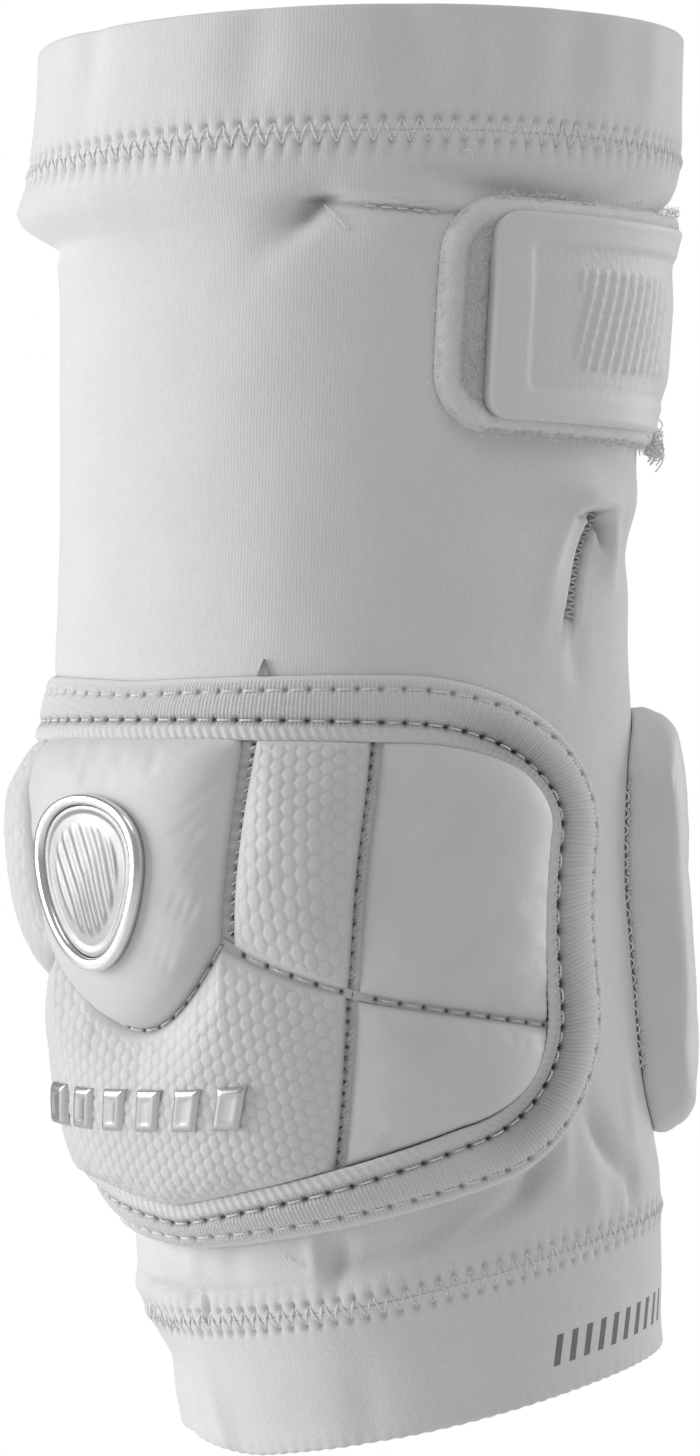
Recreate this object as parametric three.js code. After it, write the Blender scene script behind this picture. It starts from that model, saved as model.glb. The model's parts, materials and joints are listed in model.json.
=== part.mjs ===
// A padded arm sleeve, standing as it does on a slightly bent arm.
// Millimetres, +Z up. The origin is on the arm's axis at the elbow. The elbow cap faces -Y,
// "turn" is the angle in degrees round the arm from there towards +X, and "rise" is the height
// along the arm above the elbow.
import * as THREE from 'three';

// Driving dimensions: the sleeve
const UPPER_LENGTH = 154.5;      // elbow to the top hem, measured at the cap
const LOWER_LENGTH = 96.5;       // elbow to the wrist hem
const ELBOW_RADIUS = 53.5;
const UPPER_LEAN = 2.6;          // degrees that the upper arm leans from the vertical
const LOWER_LEAN = 14;           // degrees that the forearm leans the other way
const BEND_LENGTH = 12;          // how softly the two meet
const SLEEVE_WALL = 1.6;
const UPPER_CUFF_WALL = 2.4;     // the hem is folded double
const LOWER_CUFF_WALL = 1.8;
const UPPER_CUFF_HEIGHT = 23;
const LOWER_CUFF_HEIGHT = 26.5;
const CUFF_TILT = 4.8;           // how much higher the top hem stands on the +X side
const WRIST_TILT = 2.4;          // and how much higher the wrist hem stands there
const FOLD_LIFT = 3;             // height of the largest fold in the knit

// Driving dimensions: the elbow cap
const CAP_RISE = 36.8;           // elbow to the top edge of the binding
const CAP_DROP = 56;             // elbow to its lowest edge
const CAP_HALF_TURN = 113;       // degrees from the middle of the cap to its side edge
const BINDING_WIDTH = 12;
const BINDING_EDGE = 1.3;        // height of the binding at its outer edge
const SEAM_HEIGHT = 4.5;         // height of the cap where it is sewn through
const TONGUE_PUFF = 5.2;         // how far each kind of panel stands above its seams
const GRIP_PUFF = 4.4;
const LOWER_GRIP_PUFF = 5;
const SIDE_PUFF = 3.4;
const TONGUE_HALF_TURN = 30;
const TONGUE_DROP = 16;          // elbow to the foot of the tongue

// Driving dimensions: the badge and the trim
const BADGE_WIDTH = 29;
const BADGE_HEIGHT = 34;
const BADGE_RISE = 4.5;          // middle of the badge above the elbow
const BADGE_TURN = -1.5;
const BEZEL_WIDTH = 2.6;
const BEZEL_THICKNESS = 2.2;
const PLATE_THICKNESS = 1.2;
const TRIM_BARS = 6;
const TRIM_SPAN = 56;            // degrees from the first bar to the last
const TRIM_HEIGHT = 7.5;
const TRIM_THICKNESS = 1.1;
const TRIM_RISE = -28.5;
const TRIM_TURN = -1;

// Driving dimensions: the strap, its patch and tab, and the side pad
const STRAP_RISE = 103;          // middle of the strap above the elbow
const STRAP_WIDTH = 37;
const STRAP_WALL = 1.8;
const STRAP_END_TURN = 252;
const PATCH_HEIGHT = 43;
const PATCH_THICKNESS = 1.8;
const PATCH_FROM_TURN = 65;
const PATCH_TO_TURN = 141;
const PATCH_CORNER = 11;
const TAB_HEIGHT = 38;
const TAB_THICKNESS = 2.6;
const TAB_FROM_TURN = 74;
const TAB_TO_TURN = 148;
const TAB_CORNER = 4.5;
const TAB_BEVEL = 0.9;
const SIDE_PAD_RISE = -11.5;      // middle of the side pad
const SIDE_PAD_HEIGHT = 89;
const SIDE_PAD_FROM_TURN = 129;
const SIDE_PAD_TO_TURN = 190;
const SIDE_PAD_THICKNESS = 11.5;
const SIDE_PAD_EDGE = 7.5;
const SIDE_PAD_CORNER = 13;

// Clearances and fineness
const SEAT_GAP = 0.5;            // between a sewn-on piece and the knit under it
const SEAM_GAP = 0.8;            // between two panels of the cap
const BUTT_GAP = 0.3;            // between two pieces that meet edge to edge
const COLUMNS = 48;              // round the sleeve

const DEGREE = Math.PI / 180;
const lerp = (a, b, share) => a + (b - a) * share;
const clamp = (value) => Math.min(1, Math.max(0, value));
const smooth = (share) => clamp(share) ** 2 * (3 - 2 * clamp(share));

// Sections of the sleeve. "along" is a share of the upper length above the elbow and of the lower
// length below it, "radius" a share of the elbow's radius, "square" how square the section is.
const SECTIONS = [
  { along: -1.0, radius: 0.832, square: 0.03 },
  { along: -0.93, radius: 0.842, square: 0.035 },
  { along: -0.83, radius: 0.878, square: 0.04 },
  { along: -0.75, radius: 0.9, square: 0.045 },
  { along: -0.62, radius: 0.922, square: 0.05 },
  { along: -0.41, radius: 0.944, square: 0.06 },
  { along: -0.18, radius: 0.981, square: 0.06 },
  { along: 0.0, radius: 1.0, square: 0.06 },
  { along: 0.1, radius: 1.009, square: 0.06 },
  { along: 0.2, radius: 1.009, square: 0.06 },
  { along: 0.29, radius: 0.987, square: 0.05 },
  { along: 0.39, radius: 0.987, square: 0.04 },
  { along: 0.52, radius: 0.996, square: 0.035 },
  { along: 0.64, radius: 1.009, square: 0.03 },
  { along: 0.74, radius: 1.02, square: 0.03 },
  { along: 0.79, radius: 1.062, square: 0.03 },
  { along: 0.83, radius: 1.099, square: 0.025 },
  { along: 0.86, radius: 1.116, square: 0.02 },
  { along: 0.93, radius: 1.108, square: 0.02 },
  { along: 1.0, radius: 1.107, square: 0.02 },
];

// Folds and dents in the knit, each a soft mound. "turn" is in degrees, "along" as above, "round"
// the half width in degrees, "tall" the half height as a share of the elbow's radius, "lift" a
// share of the largest fold.
const FOLDS = [
  { turn: -42, along: 0.79, round: 30, tall: 0.1, lift: 1.3 },
  { turn: 42, along: 0.785, round: 7, tall: 0.09, lift: -0.7 },
  { turn: 52, along: 0.74, round: 14, tall: 0.1, lift: 0.35 },
  { turn: 105, along: 0.475, round: 14, tall: 0.08, lift: 1.0 },
  { turn: 108, along: 0.38, round: 5, tall: 0.16, lift: -0.5 },
  { turn: 124, along: 0.44, round: 7, tall: 0.1, lift: 0.6 },
  { turn: 118, along: -0.64, round: 12, tall: 0.09, lift: 0.5 },
  { turn: 36, along: -0.665, round: 9, tall: 0.05, lift: 0.35 },
  { turn: 228, along: 0.05, round: 13, tall: 0.12, lift: -0.8 },
  { turn: 240, along: 0.22, round: 18, tall: 0.1, lift: 0.6 },
  { turn: 238, along: -0.16, round: 18, tall: 0.1, lift: 0.6 },
  { turn: 250, along: -0.5, round: 20, tall: 0.1, lift: 0.4 },
];

const levelOf = (along) => along * (along < 0 ? LOWER_LENGTH : UPPER_LENGTH);

// The value of one column of SECTIONS at a height, in between its neighbours.
function sectionValue(column, rise) {
  let next = SECTIONS.findIndex((row) => levelOf(row.along) > rise);
  if (next === -1) next = SECTIONS.length - 1;
  next = Math.max(next, 1);
  const [low, high] = [SECTIONS[next - 1], SECTIONS[next]];
  const share = (rise - levelOf(low.along)) / (levelOf(high.along) - levelOf(low.along));
  return lerp(low[column], high[column], clamp(share));
}

// The difference between two turns, between -180 and 180 degrees.
const turnBetween = (a, b) => ((((a - b) % 360) + 540) % 360) - 180;

function foldLift(turn, rise) {
  return FOLDS.reduce((sum, fold) => {
    const across = turnBetween(turn, fold.turn) / fold.round;
    const up = (rise - levelOf(fold.along)) / (fold.tall * ELBOW_RADIUS);
    return sum + FOLD_LIFT * fold.lift * Math.exp(-(across * across + up * up) / 2);
  }, 0);
}

// The arm's axis in the YZ plane: two straight arms that meet in a soft bend.
const UPPER_SLOPE = Math.tan(UPPER_LEAN * DEGREE);
const LOWER_SLOPE = Math.tan(LOWER_LEAN * DEGREE);
const MEAN_SLOPE = (UPPER_SLOPE - LOWER_SLOPE) / 2;
const BEND_SLOPE = (UPPER_SLOPE + LOWER_SLOPE) / 2;
const axisOffset = (rise) => MEAN_SLOPE * rise + BEND_SLOPE * (Math.hypot(rise, BEND_LENGTH) - BEND_LENGTH);
const axisSlope = (rise) => MEAN_SLOPE + (BEND_SLOPE * rise) / Math.hypot(rise, BEND_LENGTH);

// A point of the worn sleeve: "lift" millimetres above its outer face, at a turn and a rise.
function form(turn, rise, lift) {
  const angle = turn * DEGREE;
  const square = sectionValue('square', rise) * Math.cos(2 * angle) ** 2;
  const radius = ELBOW_RADIUS * sectionValue('radius', rise) * (1 - square);
  const reach = radius + foldLift(turn, rise) + lift;
  const slope = axisSlope(rise);
  const length = Math.hypot(1, slope);
  return new THREE.Vector3(
    reach * Math.sin(angle),
    axisOffset(rise) - (reach * Math.cos(angle)) / length,
    rise + (reach * Math.cos(angle) * slope) / length,
  );
}

// The rows near each end of the sleeve tilt with its hem, from where the arm's middle part ends.
const MIDDLE_PART = 0.35;        // share of each length that keeps level rows
const tiltedRise = (turn, level) => {
  const length = level < 0 ? LOWER_LENGTH - LOWER_CUFF_HEIGHT : UPPER_LENGTH - UPPER_CUFF_HEIGHT;
  const share = smooth((Math.abs(level) / length - MIDDLE_PART) / (1 - MIDDLE_PART));
  return level + (level < 0 ? WRIST_TILT : CUFF_TILT) * share * Math.sin(turn * DEGREE);
};

function geometryFrom(points, triangles) {
  const geometry = new THREE.BufferGeometry();
  const positions = points.flatMap((point) => point.toArray());
  geometry.setAttribute('position', new THREE.Float32BufferAttribute(positions, 3));
  geometry.setIndex(triangles.flat());
  geometry.computeVertexNormals();
  return geometry;
}

const quad = (a, b, c, d) => [[a, b, c], [a, c, d]];

// A closed band: each section is a ring of points, and the last section joins the first.
function closedLoop(sections) {
  const size = sections[0].length;
  const at = (s, k) => (s % sections.length) * size + (k % size);
  const triangles = sections.flatMap((_, s) => sections[0].flatMap((__, k) => (
    quad(at(s, k), at(s + 1, k), at(s + 1, k + 1), at(s, k + 1)))));
  return geometryFrom(sections.flat(), triangles);
}

// A tube round the arm through rows at given levels, with an outer and an inner wall.
function tube(levels, outerLift, wall) {
  const sections = [];
  for (let column = 0; column < COLUMNS; column += 1) {
    const turn = (360 * column) / COLUMNS;
    const outside = levels.map((level) => form(turn, tiltedRise(turn, level), outerLift));
    const inside = levels.map((level) => form(turn, tiltedRise(turn, level), outerLift - wall));
    sections.push([...outside, ...inside.reverse()]);
  }
  return closedLoop(sections);
}

// A closed slab over a patch of the sleeve. "place" gives the turn and the rise at shares u, v
// across and up the patch, "under" and "over" the heights of its two faces there.
function slab(place, columns, rows, under, over) {
  const points = [];
  for (const height of [under, over]) {
    for (let row = 0; row <= rows; row += 1) {
      for (let column = 0; column <= columns; column += 1) {
        const [u, v] = [column / columns, row / rows];
        const { turn, rise } = place(u, v);
        points.push(form(turn, rise, height(u, v)));
      }
    }
  }
  const layer = (columns + 1) * (rows + 1);
  const at = (column, row, top) => row * (columns + 1) + column + (top ? layer : 0);
  const triangles = [];
  for (let row = 0; row < rows; row += 1) {
    for (let column = 0; column < columns; column += 1) {
      const corners = [[column, row], [column + 1, row], [column + 1, row + 1], [column, row + 1]];
      triangles.push(...quad(...corners.map(([c, r]) => at(c, r, true))));
      triangles.push(...quad(...corners.reverse().map(([c, r]) => at(c, r, false))));
    }
  }
  const rim = [
    ...Array.from({ length: columns }, (_, c) => [c, 0]),
    ...Array.from({ length: rows }, (_, r) => [columns, r]),
    ...Array.from({ length: columns }, (_, c) => [columns - c, rows]),
    ...Array.from({ length: rows }, (_, r) => [0, rows - r]),
  ];
  rim.forEach(([c, r], k) => {
    const [nextC, nextR] = rim[(k + 1) % rim.length];
    triangles.push(
      ...quad(at(c, r, false), at(nextC, nextR, false), at(nextC, nextR, true), at(c, r, true)));
  });
  return geometryFrom(points, triangles);
}

const millimetresPerDegree = ELBOW_RADIUS * DEGREE;
const atSeat = () => SEAT_GAP;

// The two edges of the binding. "turn" is a share of the cap's half turn, "rise" a share of its
// rise or drop, "tuck" and "drop" how far the inner edge lies inside, as shares of the width.
const EDGE = [
  { turn: 0, rise: 0.945, tuck: 0, drop: 0.8, round: false },
  { turn: 0.531, rise: 1, tuck: 0, drop: 0.95, round: false },
  { turn: 1, rise: 0.22, tuck: 1.5, drop: -0.14, round: true },
  { turn: 0.961, rise: -0.357, tuck: 1.5, drop: 0.12, round: false },
  { turn: 0.607, rise: -0.925, tuck: 0.33, drop: -0.97, round: true },
  { turn: 0, rise: -1, tuck: 0, drop: -0.67, round: false },
];

const edgeCorners = (inset) => EDGE.map((row) => ({
  turn: row.turn * CAP_HALF_TURN - (row.tuck * inset) / millimetresPerDegree,
  rise: row.rise * (row.rise < 0 ? CAP_DROP : CAP_RISE) - row.drop * inset,
  round: row.round,
}));
const OUTER_EDGE = edgeCorners(0);
const INNER_EDGE = edgeCorners(BINDING_WIDTH);

// A point on an edge of the cap: 0 is the top middle, each whole number the next corner.
function edgePoint(corners, place) {
  const start = Math.min(Math.floor(place), corners.length - 2);
  const [from, to, share] = [corners[start], corners[start + 1], place - start];
  if (!to.round) return { turn: lerp(from.turn, to.turn, share), rise: lerp(from.rise, to.rise, share) };
  const angle = (share * Math.PI) / 2;
  const [early, late] = [Math.sin(angle), 1 - Math.cos(angle)];
  const outward = to.turn > from.turn;
  return {
    turn: lerp(from.turn, to.turn, outward ? early : late),
    rise: lerp(from.rise, to.rise, outward ? late : early),
  };
}

const innerEdge = (place) => edgePoint(INNER_EDGE, place);

// Where the seams of the cap meet its inner edge, in the places of edgePoint.
const SIDE_SEAM_TOP = 0.905;
const UPPER_CORNER = 1.5;
const CROSS_SEAM_END = 3.16;
const LOWER_CORNER = 3.5;
const SIDE_SEAM_FOOT = 4.395;

// The corners where seams meet inside the cap.
const TONGUE_CORNER = { turn: 0.8 * TONGUE_HALF_TURN, rise: -0.24 * TONGUE_DROP };
const CROSSING = { turn: 0.421 * CAP_HALF_TURN, rise: -0.225 * CAP_DROP };
const TONGUE_TOP = { turn: TONGUE_HALF_TURN, rise: innerEdge(TONGUE_HALF_TURN / INNER_EDGE[1].turn).rise };

// A bowed seam between two points: "bow" degrees of turn at its middle.
const seam = (from, to, bow) => (share) => ({
  turn: lerp(from.turn, to.turn, share) + 4 * bow * share * (1 - share),
  rise: lerp(from.rise, to.rise, share),
});
const edgeRun = (from, to) => (share) => innerEdge(lerp(from, to, share));
const mirrored = (curve) => (share) => ({ turn: -curve(share).turn, rise: curve(share).rise });

const sideSeamUpper = seam(CROSSING, innerEdge(SIDE_SEAM_TOP), 1);
const sideSeamLower = seam(innerEdge(SIDE_SEAM_FOOT), CROSSING, 0.5);
const tongueSide = seam(TONGUE_CORNER, TONGUE_TOP, 0.8);
const crossSeamInner = seam(TONGUE_CORNER, CROSSING, 0);
const crossSeamOuter = seam(CROSSING, innerEdge(CROSS_SEAM_END), 0);
const tongueFoot = (share) => {
  const across = 2 * share - 1;
  const dip = Math.cos((across * Math.PI) / 2);
  return {
    turn: across * TONGUE_CORNER.turn,
    rise: TONGUE_CORNER.rise - (TONGUE_DROP + TONGUE_CORNER.rise) * dip,
  };
};

// The top edge of the lower grip panel: a cross seam, the foot of the tongue, a cross seam.
const OUTER_SHARE = 0.24;
function lowerGripTop(share) {
  if (share < OUTER_SHARE) return mirrored(crossSeamInner)(1 - share / OUTER_SHARE);
  if (share > 1 - OUTER_SHARE) return crossSeamInner((share - 1 + OUTER_SHARE) / OUTER_SHARE);
  return tongueFoot((share - OUTER_SHARE) / (1 - 2 * OUTER_SHARE));
}
function lowerGripFoot(share) {
  const half = share < 0.5 ? mirrored(edgeRun(5, SIDE_SEAM_FOOT)) : edgeRun(5, SIDE_SEAM_FOOT);
  return half(Math.abs(2 * share - 1));
}

// A patch between four curves that share their corners, kept clear of its neighbours by half a
// seam gap. Foot and head run across, the two sides run up.
function patchBetween(foot, head, start, end) {
  const length = (a, b) => Math.hypot((a.turn - b.turn) * millimetresPerDegree, a.rise - b.rise);
  const across = Math.min(length(foot(0), foot(1)), length(head(0), head(1)));
  const up = Math.min(length(start(0), start(1)), length(end(0), end(1)));
  const inside = (share, span) => lerp(SEAM_GAP / 2 / span, 1 - SEAM_GAP / 2 / span, share);
  return (u, v) => {
    const [x, y] = [inside(u, across), inside(v, up)];
    const blend = (key) => (
      lerp(foot(x)[key], head(x)[key], y) + lerp(start(y)[key], end(y)[key], x)
      - lerp(lerp(foot(0)[key], foot(1)[key], x), lerp(head(0)[key], head(1)[key], x), y));
    return { turn: blend('turn'), rise: blend('rise') };
  };
}

const mirroredPlace = (place) => (u, v) => ({ turn: -place(1 - u, v).turn, rise: place(1 - u, v).rise });

// The puffed top of a panel: flat in the middle, falling to the seam height at its edges. A
// higher power falls later, with one power across and one each for the foot and the head.
const puffed = (puff, across, foot = across, head = across) => (u, v) => {
  const up = v < 0.5 ? foot : head;
  return SEAM_HEIGHT + puff * (1 - Math.abs(2 * u - 1) ** across) * (1 - Math.abs(2 * v - 1) ** up);
};

const PANEL_POWER = 3;
const TONGUE_POWER = 6;
const WIDE_POWER = 4;
const FULL_FOOT_POWER = 7;
const SOFT_HEAD_POWER = 2;

const CAP_PANELS = [
  {
    name: 'tongue_panel',
    place: patchBetween(
      tongueFoot, seam(mirrored(tongueSide)(1), TONGUE_TOP, 0), mirrored(tongueSide), tongueSide),
    columns: 9,
    rows: 8,
    over: puffed(TONGUE_PUFF, TONGUE_POWER),
  },
  {
    name: 'lower_grip_panel',
    place: patchBetween(lowerGripFoot, lowerGripTop, mirrored(sideSeamLower), sideSeamLower),
    columns: 16,
    rows: 6,
    over: puffed(LOWER_GRIP_PUFF, WIDE_POWER, FULL_FOOT_POWER, PANEL_POWER),
  },
];
const SIDE_PANELS = [
  {
    name: 'grip_panel',
    place: patchBetween(
      crossSeamInner, seam(TONGUE_TOP, innerEdge(SIDE_SEAM_TOP), 0), tongueSide, sideSeamUpper),
    columns: 5,
    rows: 7,
    over: puffed(GRIP_PUFF, PANEL_POWER, PANEL_POWER, SOFT_HEAD_POWER),
  },
  {
    name: 'side_panel_upper',
    place: patchBetween(
      crossSeamOuter, edgeRun(SIDE_SEAM_TOP, UPPER_CORNER),
      sideSeamUpper, edgeRun(CROSS_SEAM_END, UPPER_CORNER)),
    columns: 7,
    rows: 7,
    over: puffed(SIDE_PUFF, PANEL_POWER),
  },
  {
    name: 'side_panel_lower',
    place: patchBetween(
      edgeRun(SIDE_SEAM_FOOT, LOWER_CORNER), crossSeamOuter,
      sideSeamLower, edgeRun(LOWER_CORNER, CROSS_SEAM_END)),
    columns: 7,
    rows: 5,
    over: puffed(SIDE_PUFF, PANEL_POWER),
  },
];

// The binding: a tape from the outer edge up to the panels, all the way round the cap.
function bindingGeometry() {
  const STEPS = [8, 8, 4, 8, 7];
  const places = STEPS.flatMap((steps, side) => Array.from({ length: steps }, (_, k) => side + k / steps));
  const width = 1 - SEAM_GAP / 2 / BINDING_WIDTH;
  const MIDDLE_HEIGHT = 0.8 * SEAM_HEIGHT;
  const section = (place, side) => {
    const [outer, inner] = [edgePoint(OUTER_EDGE, place), innerEdge(place)];
    const spot = (share, lift) => {
      const turn = lerp(outer.turn, inner.turn, share * width);
      return form(side * turn, lerp(outer.rise, inner.rise, share * width), lift);
    };
    return [
      spot(0, SEAT_GAP), spot(0.5, SEAT_GAP), spot(1, SEAT_GAP),
      spot(1, SEAM_HEIGHT), spot(0.5, MIDDLE_HEIGHT), spot(0, BINDING_EDGE),
    ];
  };
  const right = places.map((place) => section(place, 1));
  const left = [5, ...places.slice(1).reverse()].map((place) => section(place, -1));
  return closedLoop([...right, ...left]);
}

// The badge: a tapered oval plate in a raised bezel, on the middle of the tongue.
const BADGE_SIDES = 28;
const BADGE_TAPER = 0.16;        // how much narrower its lower half is
const BADGE_SEAT = SEAM_HEIGHT + TONGUE_PUFF + SEAT_GAP;
// How many millimetres one degree of turn and one millimetre of rise measure at the badge.
const badgeMiddle = form(BADGE_TURN, BADGE_RISE, BADGE_SEAT);
const badgePerDegree = badgeMiddle.distanceTo(form(BADGE_TURN + 1, BADGE_RISE, BADGE_SEAT));
const badgePerRise = badgeMiddle.distanceTo(form(BADGE_TURN, BADGE_RISE + 1, BADGE_SEAT));

// A point of the badge's outline, drawn in from the edge and towards the middle by a share.
function badgePoint(angle, inset, share, lift) {
  const up = Math.sin(angle);
  const across = Math.cos(angle) * (1 + BADGE_TAPER * up);
  const turn = BADGE_TURN + (share * (BADGE_WIDTH / 2 - inset) * across) / badgePerDegree;
  return form(turn, BADGE_RISE + (share * (BADGE_HEIGHT / 2 - inset) * up) / badgePerRise, lift);
}
const badgeAngles = Array.from({ length: BADGE_SIDES }, (_, k) => (-2 * Math.PI * k) / BADGE_SIDES);

function bezelGeometry() {
  const top = BADGE_SEAT + BEZEL_THICKNESS;
  const crown = BEZEL_WIDTH / 4;
  return closedLoop(badgeAngles.map((angle) => [
    badgePoint(angle, BEZEL_WIDTH, 1, BADGE_SEAT),
    badgePoint(angle, BEZEL_WIDTH, 1, BADGE_SEAT + PLATE_THICKNESS),
    badgePoint(angle, BEZEL_WIDTH - crown, 1, top),
    badgePoint(angle, crown, 1, top),
    badgePoint(angle, 0, 1, top - crown),
    badgePoint(angle, 0, 1, BADGE_SEAT),
  ]));
}

// A closed disc: rings that shrink to a middle point, above and below.
function plateGeometry() {
  const edge = BEZEL_WIDTH + BUTT_GAP;
  const RINGS = [1, 0.6];
  const points = [];
  for (const lift of [BADGE_SEAT + PLATE_THICKNESS, BADGE_SEAT]) {
    for (const share of RINGS) {
      points.push(...badgeAngles.map((angle) => badgePoint(angle, edge, share, lift)));
    }
    points.push(form(BADGE_TURN, BADGE_RISE, lift));
  }
  const layer = RINGS.length * BADGE_SIDES + 1;
  const triangles = [];
  for (let k = 0; k < BADGE_SIDES; k += 1) {
    const next = (k + 1) % BADGE_SIDES;
    const [inner, middle] = [BADGE_SIDES, layer - 1];
    triangles.push(...quad(k, inner + k, inner + next, next), [inner + k, middle, inner + next]);
    triangles.push(...quad(layer + next, layer + inner + next, layer + inner + k, layer + k));
    triangles.push([layer + inner + next, layer + middle, layer + inner + k]);
    triangles.push(...quad(k, next, layer + next, layer + k));
  }
  return geometryFrom(points, triangles);
}

// One slanted bar of the trim, standing on the lower grip panel.
const TRIM_SEAT = SEAM_HEIGHT + LOWER_GRIP_PUFF + SEAT_GAP;
const TRIM_SLANT = 3.2;          // degrees that the head of a bar leans to one side
const TRIM_FILL = 0.62;          // share of the pitch that a bar takes up
function trimBarGeometry(index) {
  const pitch = TRIM_SPAN / TRIM_BARS;
  const first = TRIM_TURN - TRIM_SPAN / 2 + index * pitch;
  const place = (u, v) => ({
    turn: first + TRIM_FILL * pitch * u + TRIM_SLANT * v,
    rise: TRIM_RISE + TRIM_HEIGHT * (v - 0.5),
  });
  return slab(place, 1, 1, () => TRIM_SEAT, () => TRIM_SEAT + TRIM_THICKNESS);
}

// A plate on the sleeve with rounded corners at one end or at both.
function roundedPlace({ fromTurn, toTurn, middle, height, corner, bothEnds }) {
  const span = (toTurn - fromTurn) * millimetresPerDegree;
  const spread = (u) => (bothEnds ? (1 - Math.cos(Math.PI * u)) / 2 : 1 - Math.cos((Math.PI * u) / 2));
  return (u, v) => {
    const share = spread(u);
    const toEnd = bothEnds ? Math.min(share, 1 - share) * span : share * span;
    const inset = Math.max(0, corner - toEnd);
    const half = height / 2 - corner + Math.sqrt(corner * corner - inset * inset);
    return { turn: lerp(fromTurn, toTurn, share), rise: middle + half * (2 * v - 1) };
  };
}

const PATCH_TOP = SEAT_GAP + PATCH_THICKNESS;
const TAB_SEAT = PATCH_TOP + SEAT_GAP;
const tabPlace = roundedPlace({
  fromTurn: TAB_FROM_TURN,
  toTurn: TAB_TO_TURN,
  middle: STRAP_RISE,
  height: TAB_HEIGHT,
  corner: TAB_CORNER,
});
const patchPlace = roundedPlace({
  fromTurn: PATCH_FROM_TURN,
  toTurn: PATCH_TO_TURN,
  middle: STRAP_RISE,
  height: PATCH_HEIGHT,
  corner: PATCH_CORNER,
});
const bevelled = (u, v) => (
  TAB_SEAT + TAB_THICKNESS - (u === 0 || v === 0 || v === 1 ? TAB_BEVEL : 0));

// The strap leaves the end of the tab and comes down onto the knit behind the patch.
const STRAP_FROM_TURN = TAB_TO_TURN + BUTT_GAP / millimetresPerDegree;
const strapPlace = (u, v) => ({
  turn: lerp(STRAP_FROM_TURN, STRAP_END_TURN, u), rise: STRAP_RISE + STRAP_WIDTH * (v - 0.5),
});
const STRAP_LANDING = 0.2;
const strapSeat = (u) => lerp(TAB_SEAT, SEAT_GAP, smooth(u / STRAP_LANDING));

const sidePadPlace = roundedPlace({
  fromTurn: SIDE_PAD_FROM_TURN,
  toTurn: SIDE_PAD_TO_TURN,
  middle: SIDE_PAD_RISE,
  height: SIDE_PAD_HEIGHT,
  corner: SIDE_PAD_CORNER,
  bothEnds: true,
});
const sidePadTop = (u, v) => {
  const fullness = (1 - Math.abs(2 * u - 1) ** WIDE_POWER) * (1 - Math.abs(2 * v - 1) ** WIDE_POWER);
  return lerp(SIDE_PAD_EDGE, SIDE_PAD_THICKNESS, fullness);
};

// Materials
const material = (color, roughness, metalness = 0) => (
  new THREE.MeshStandardMaterial({ color, roughness, metalness }));
const knit = material(0xe4e4e4, 0.85);
const leather = material(0xe0e0e0, 0.5);
const grip = material(0xd9d9d9, 0.6);
const tape = material(0xd0d0d0, 0.8);
const chrome = material(0xd8d8d8, 0.15, 1);
const fleece = material(0xc8c8c8, 0.95);
const moulded = material(0xdadada, 0.55);

const pad = new THREE.Group();
function add(name, geometry, finish) {
  const mesh = new THREE.Mesh(geometry, finish);
  mesh.name = name;
  pad.add(mesh);
}

const BODY_TOP = UPPER_LENGTH - UPPER_CUFF_HEIGHT;
const BODY_FOOT = LOWER_CUFF_HEIGHT - LOWER_LENGTH;
const LONGEST_ROW = 11;
const sectionLevels = SECTIONS.map((row) => levelOf(row.along));
const inBody = sectionLevels.filter((level) => level > BODY_FOOT + 2 && level < BODY_TOP - 2);
const bodyLevels = [BODY_FOOT, ...inBody, BODY_TOP].flatMap((level, k, all) => (
  k > 0 && level - all[k - 1] > LONGEST_ROW ? [(level + all[k - 1]) / 2, level] : [level]));
add('sleeve_body', tube(bodyLevels, 0, SLEEVE_WALL), knit);
const cuffLevels = (from, to) => [0, 0.3, 0.65, 1].map((share) => lerp(from, to, share));
const CUFF_PROUD = 0.5;
add('upper_cuff', tube(cuffLevels(BODY_TOP + BUTT_GAP, UPPER_LENGTH), CUFF_PROUD, UPPER_CUFF_WALL), knit);
add('lower_cuff', tube(cuffLevels(-LOWER_LENGTH, BODY_FOOT - BUTT_GAP), 0, LOWER_CUFF_WALL), knit);

const finishOf = (name) => (name.includes('grip') ? grip : leather);
for (const panel of CAP_PANELS) {
  add(panel.name, slab(panel.place, panel.columns, panel.rows, atSeat, panel.over), finishOf(panel.name));
}
for (const panel of SIDE_PANELS) {
  const geometry = (place) => slab(place, panel.columns, panel.rows, atSeat, panel.over);
  add(`${panel.name}_right`, geometry(panel.place), finishOf(panel.name));
  add(`${panel.name}_left`, geometry(mirroredPlace(panel.place)), finishOf(panel.name));
}
add('pad_binding', bindingGeometry(), tape);
add('badge_bezel', bezelGeometry(), chrome);
add('badge_plate', plateGeometry(), chrome);
for (let index = 0; index < TRIM_BARS; index += 1) {
  add(`trim_bar_${index + 1}`, trimBarGeometry(index), chrome);
}
add('loop_patch', slab(patchPlace, 14, 6, atSeat, () => PATCH_TOP), fleece);
add('strap_tab', slab(tabPlace, 12, 6, () => TAB_SEAT, bevelled), moulded);
add('strap', slab(strapPlace, 16, 3, strapSeat, (u) => strapSeat(u) + STRAP_WALL), knit);
add('side_pad', slab(sidePadPlace, 12, 10, atSeat, sidePadTop), leather);

export default pad;
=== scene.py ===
# %% [markdown]
# # A padded arm sleeve
# The real thing is a white knitted tube for a bent arm, with a foam elbow cap sewn on it. The packed
# model already holds every piece at its size, so this notebook only dresses it: each plain solid is
# replaced by a finer mesh that lies in the same space. It could be sculpted by hand instead, but a
# surface worked out from the arm's own shape keeps every seam and stitch where it belongs.

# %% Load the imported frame
import json
import math

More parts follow.
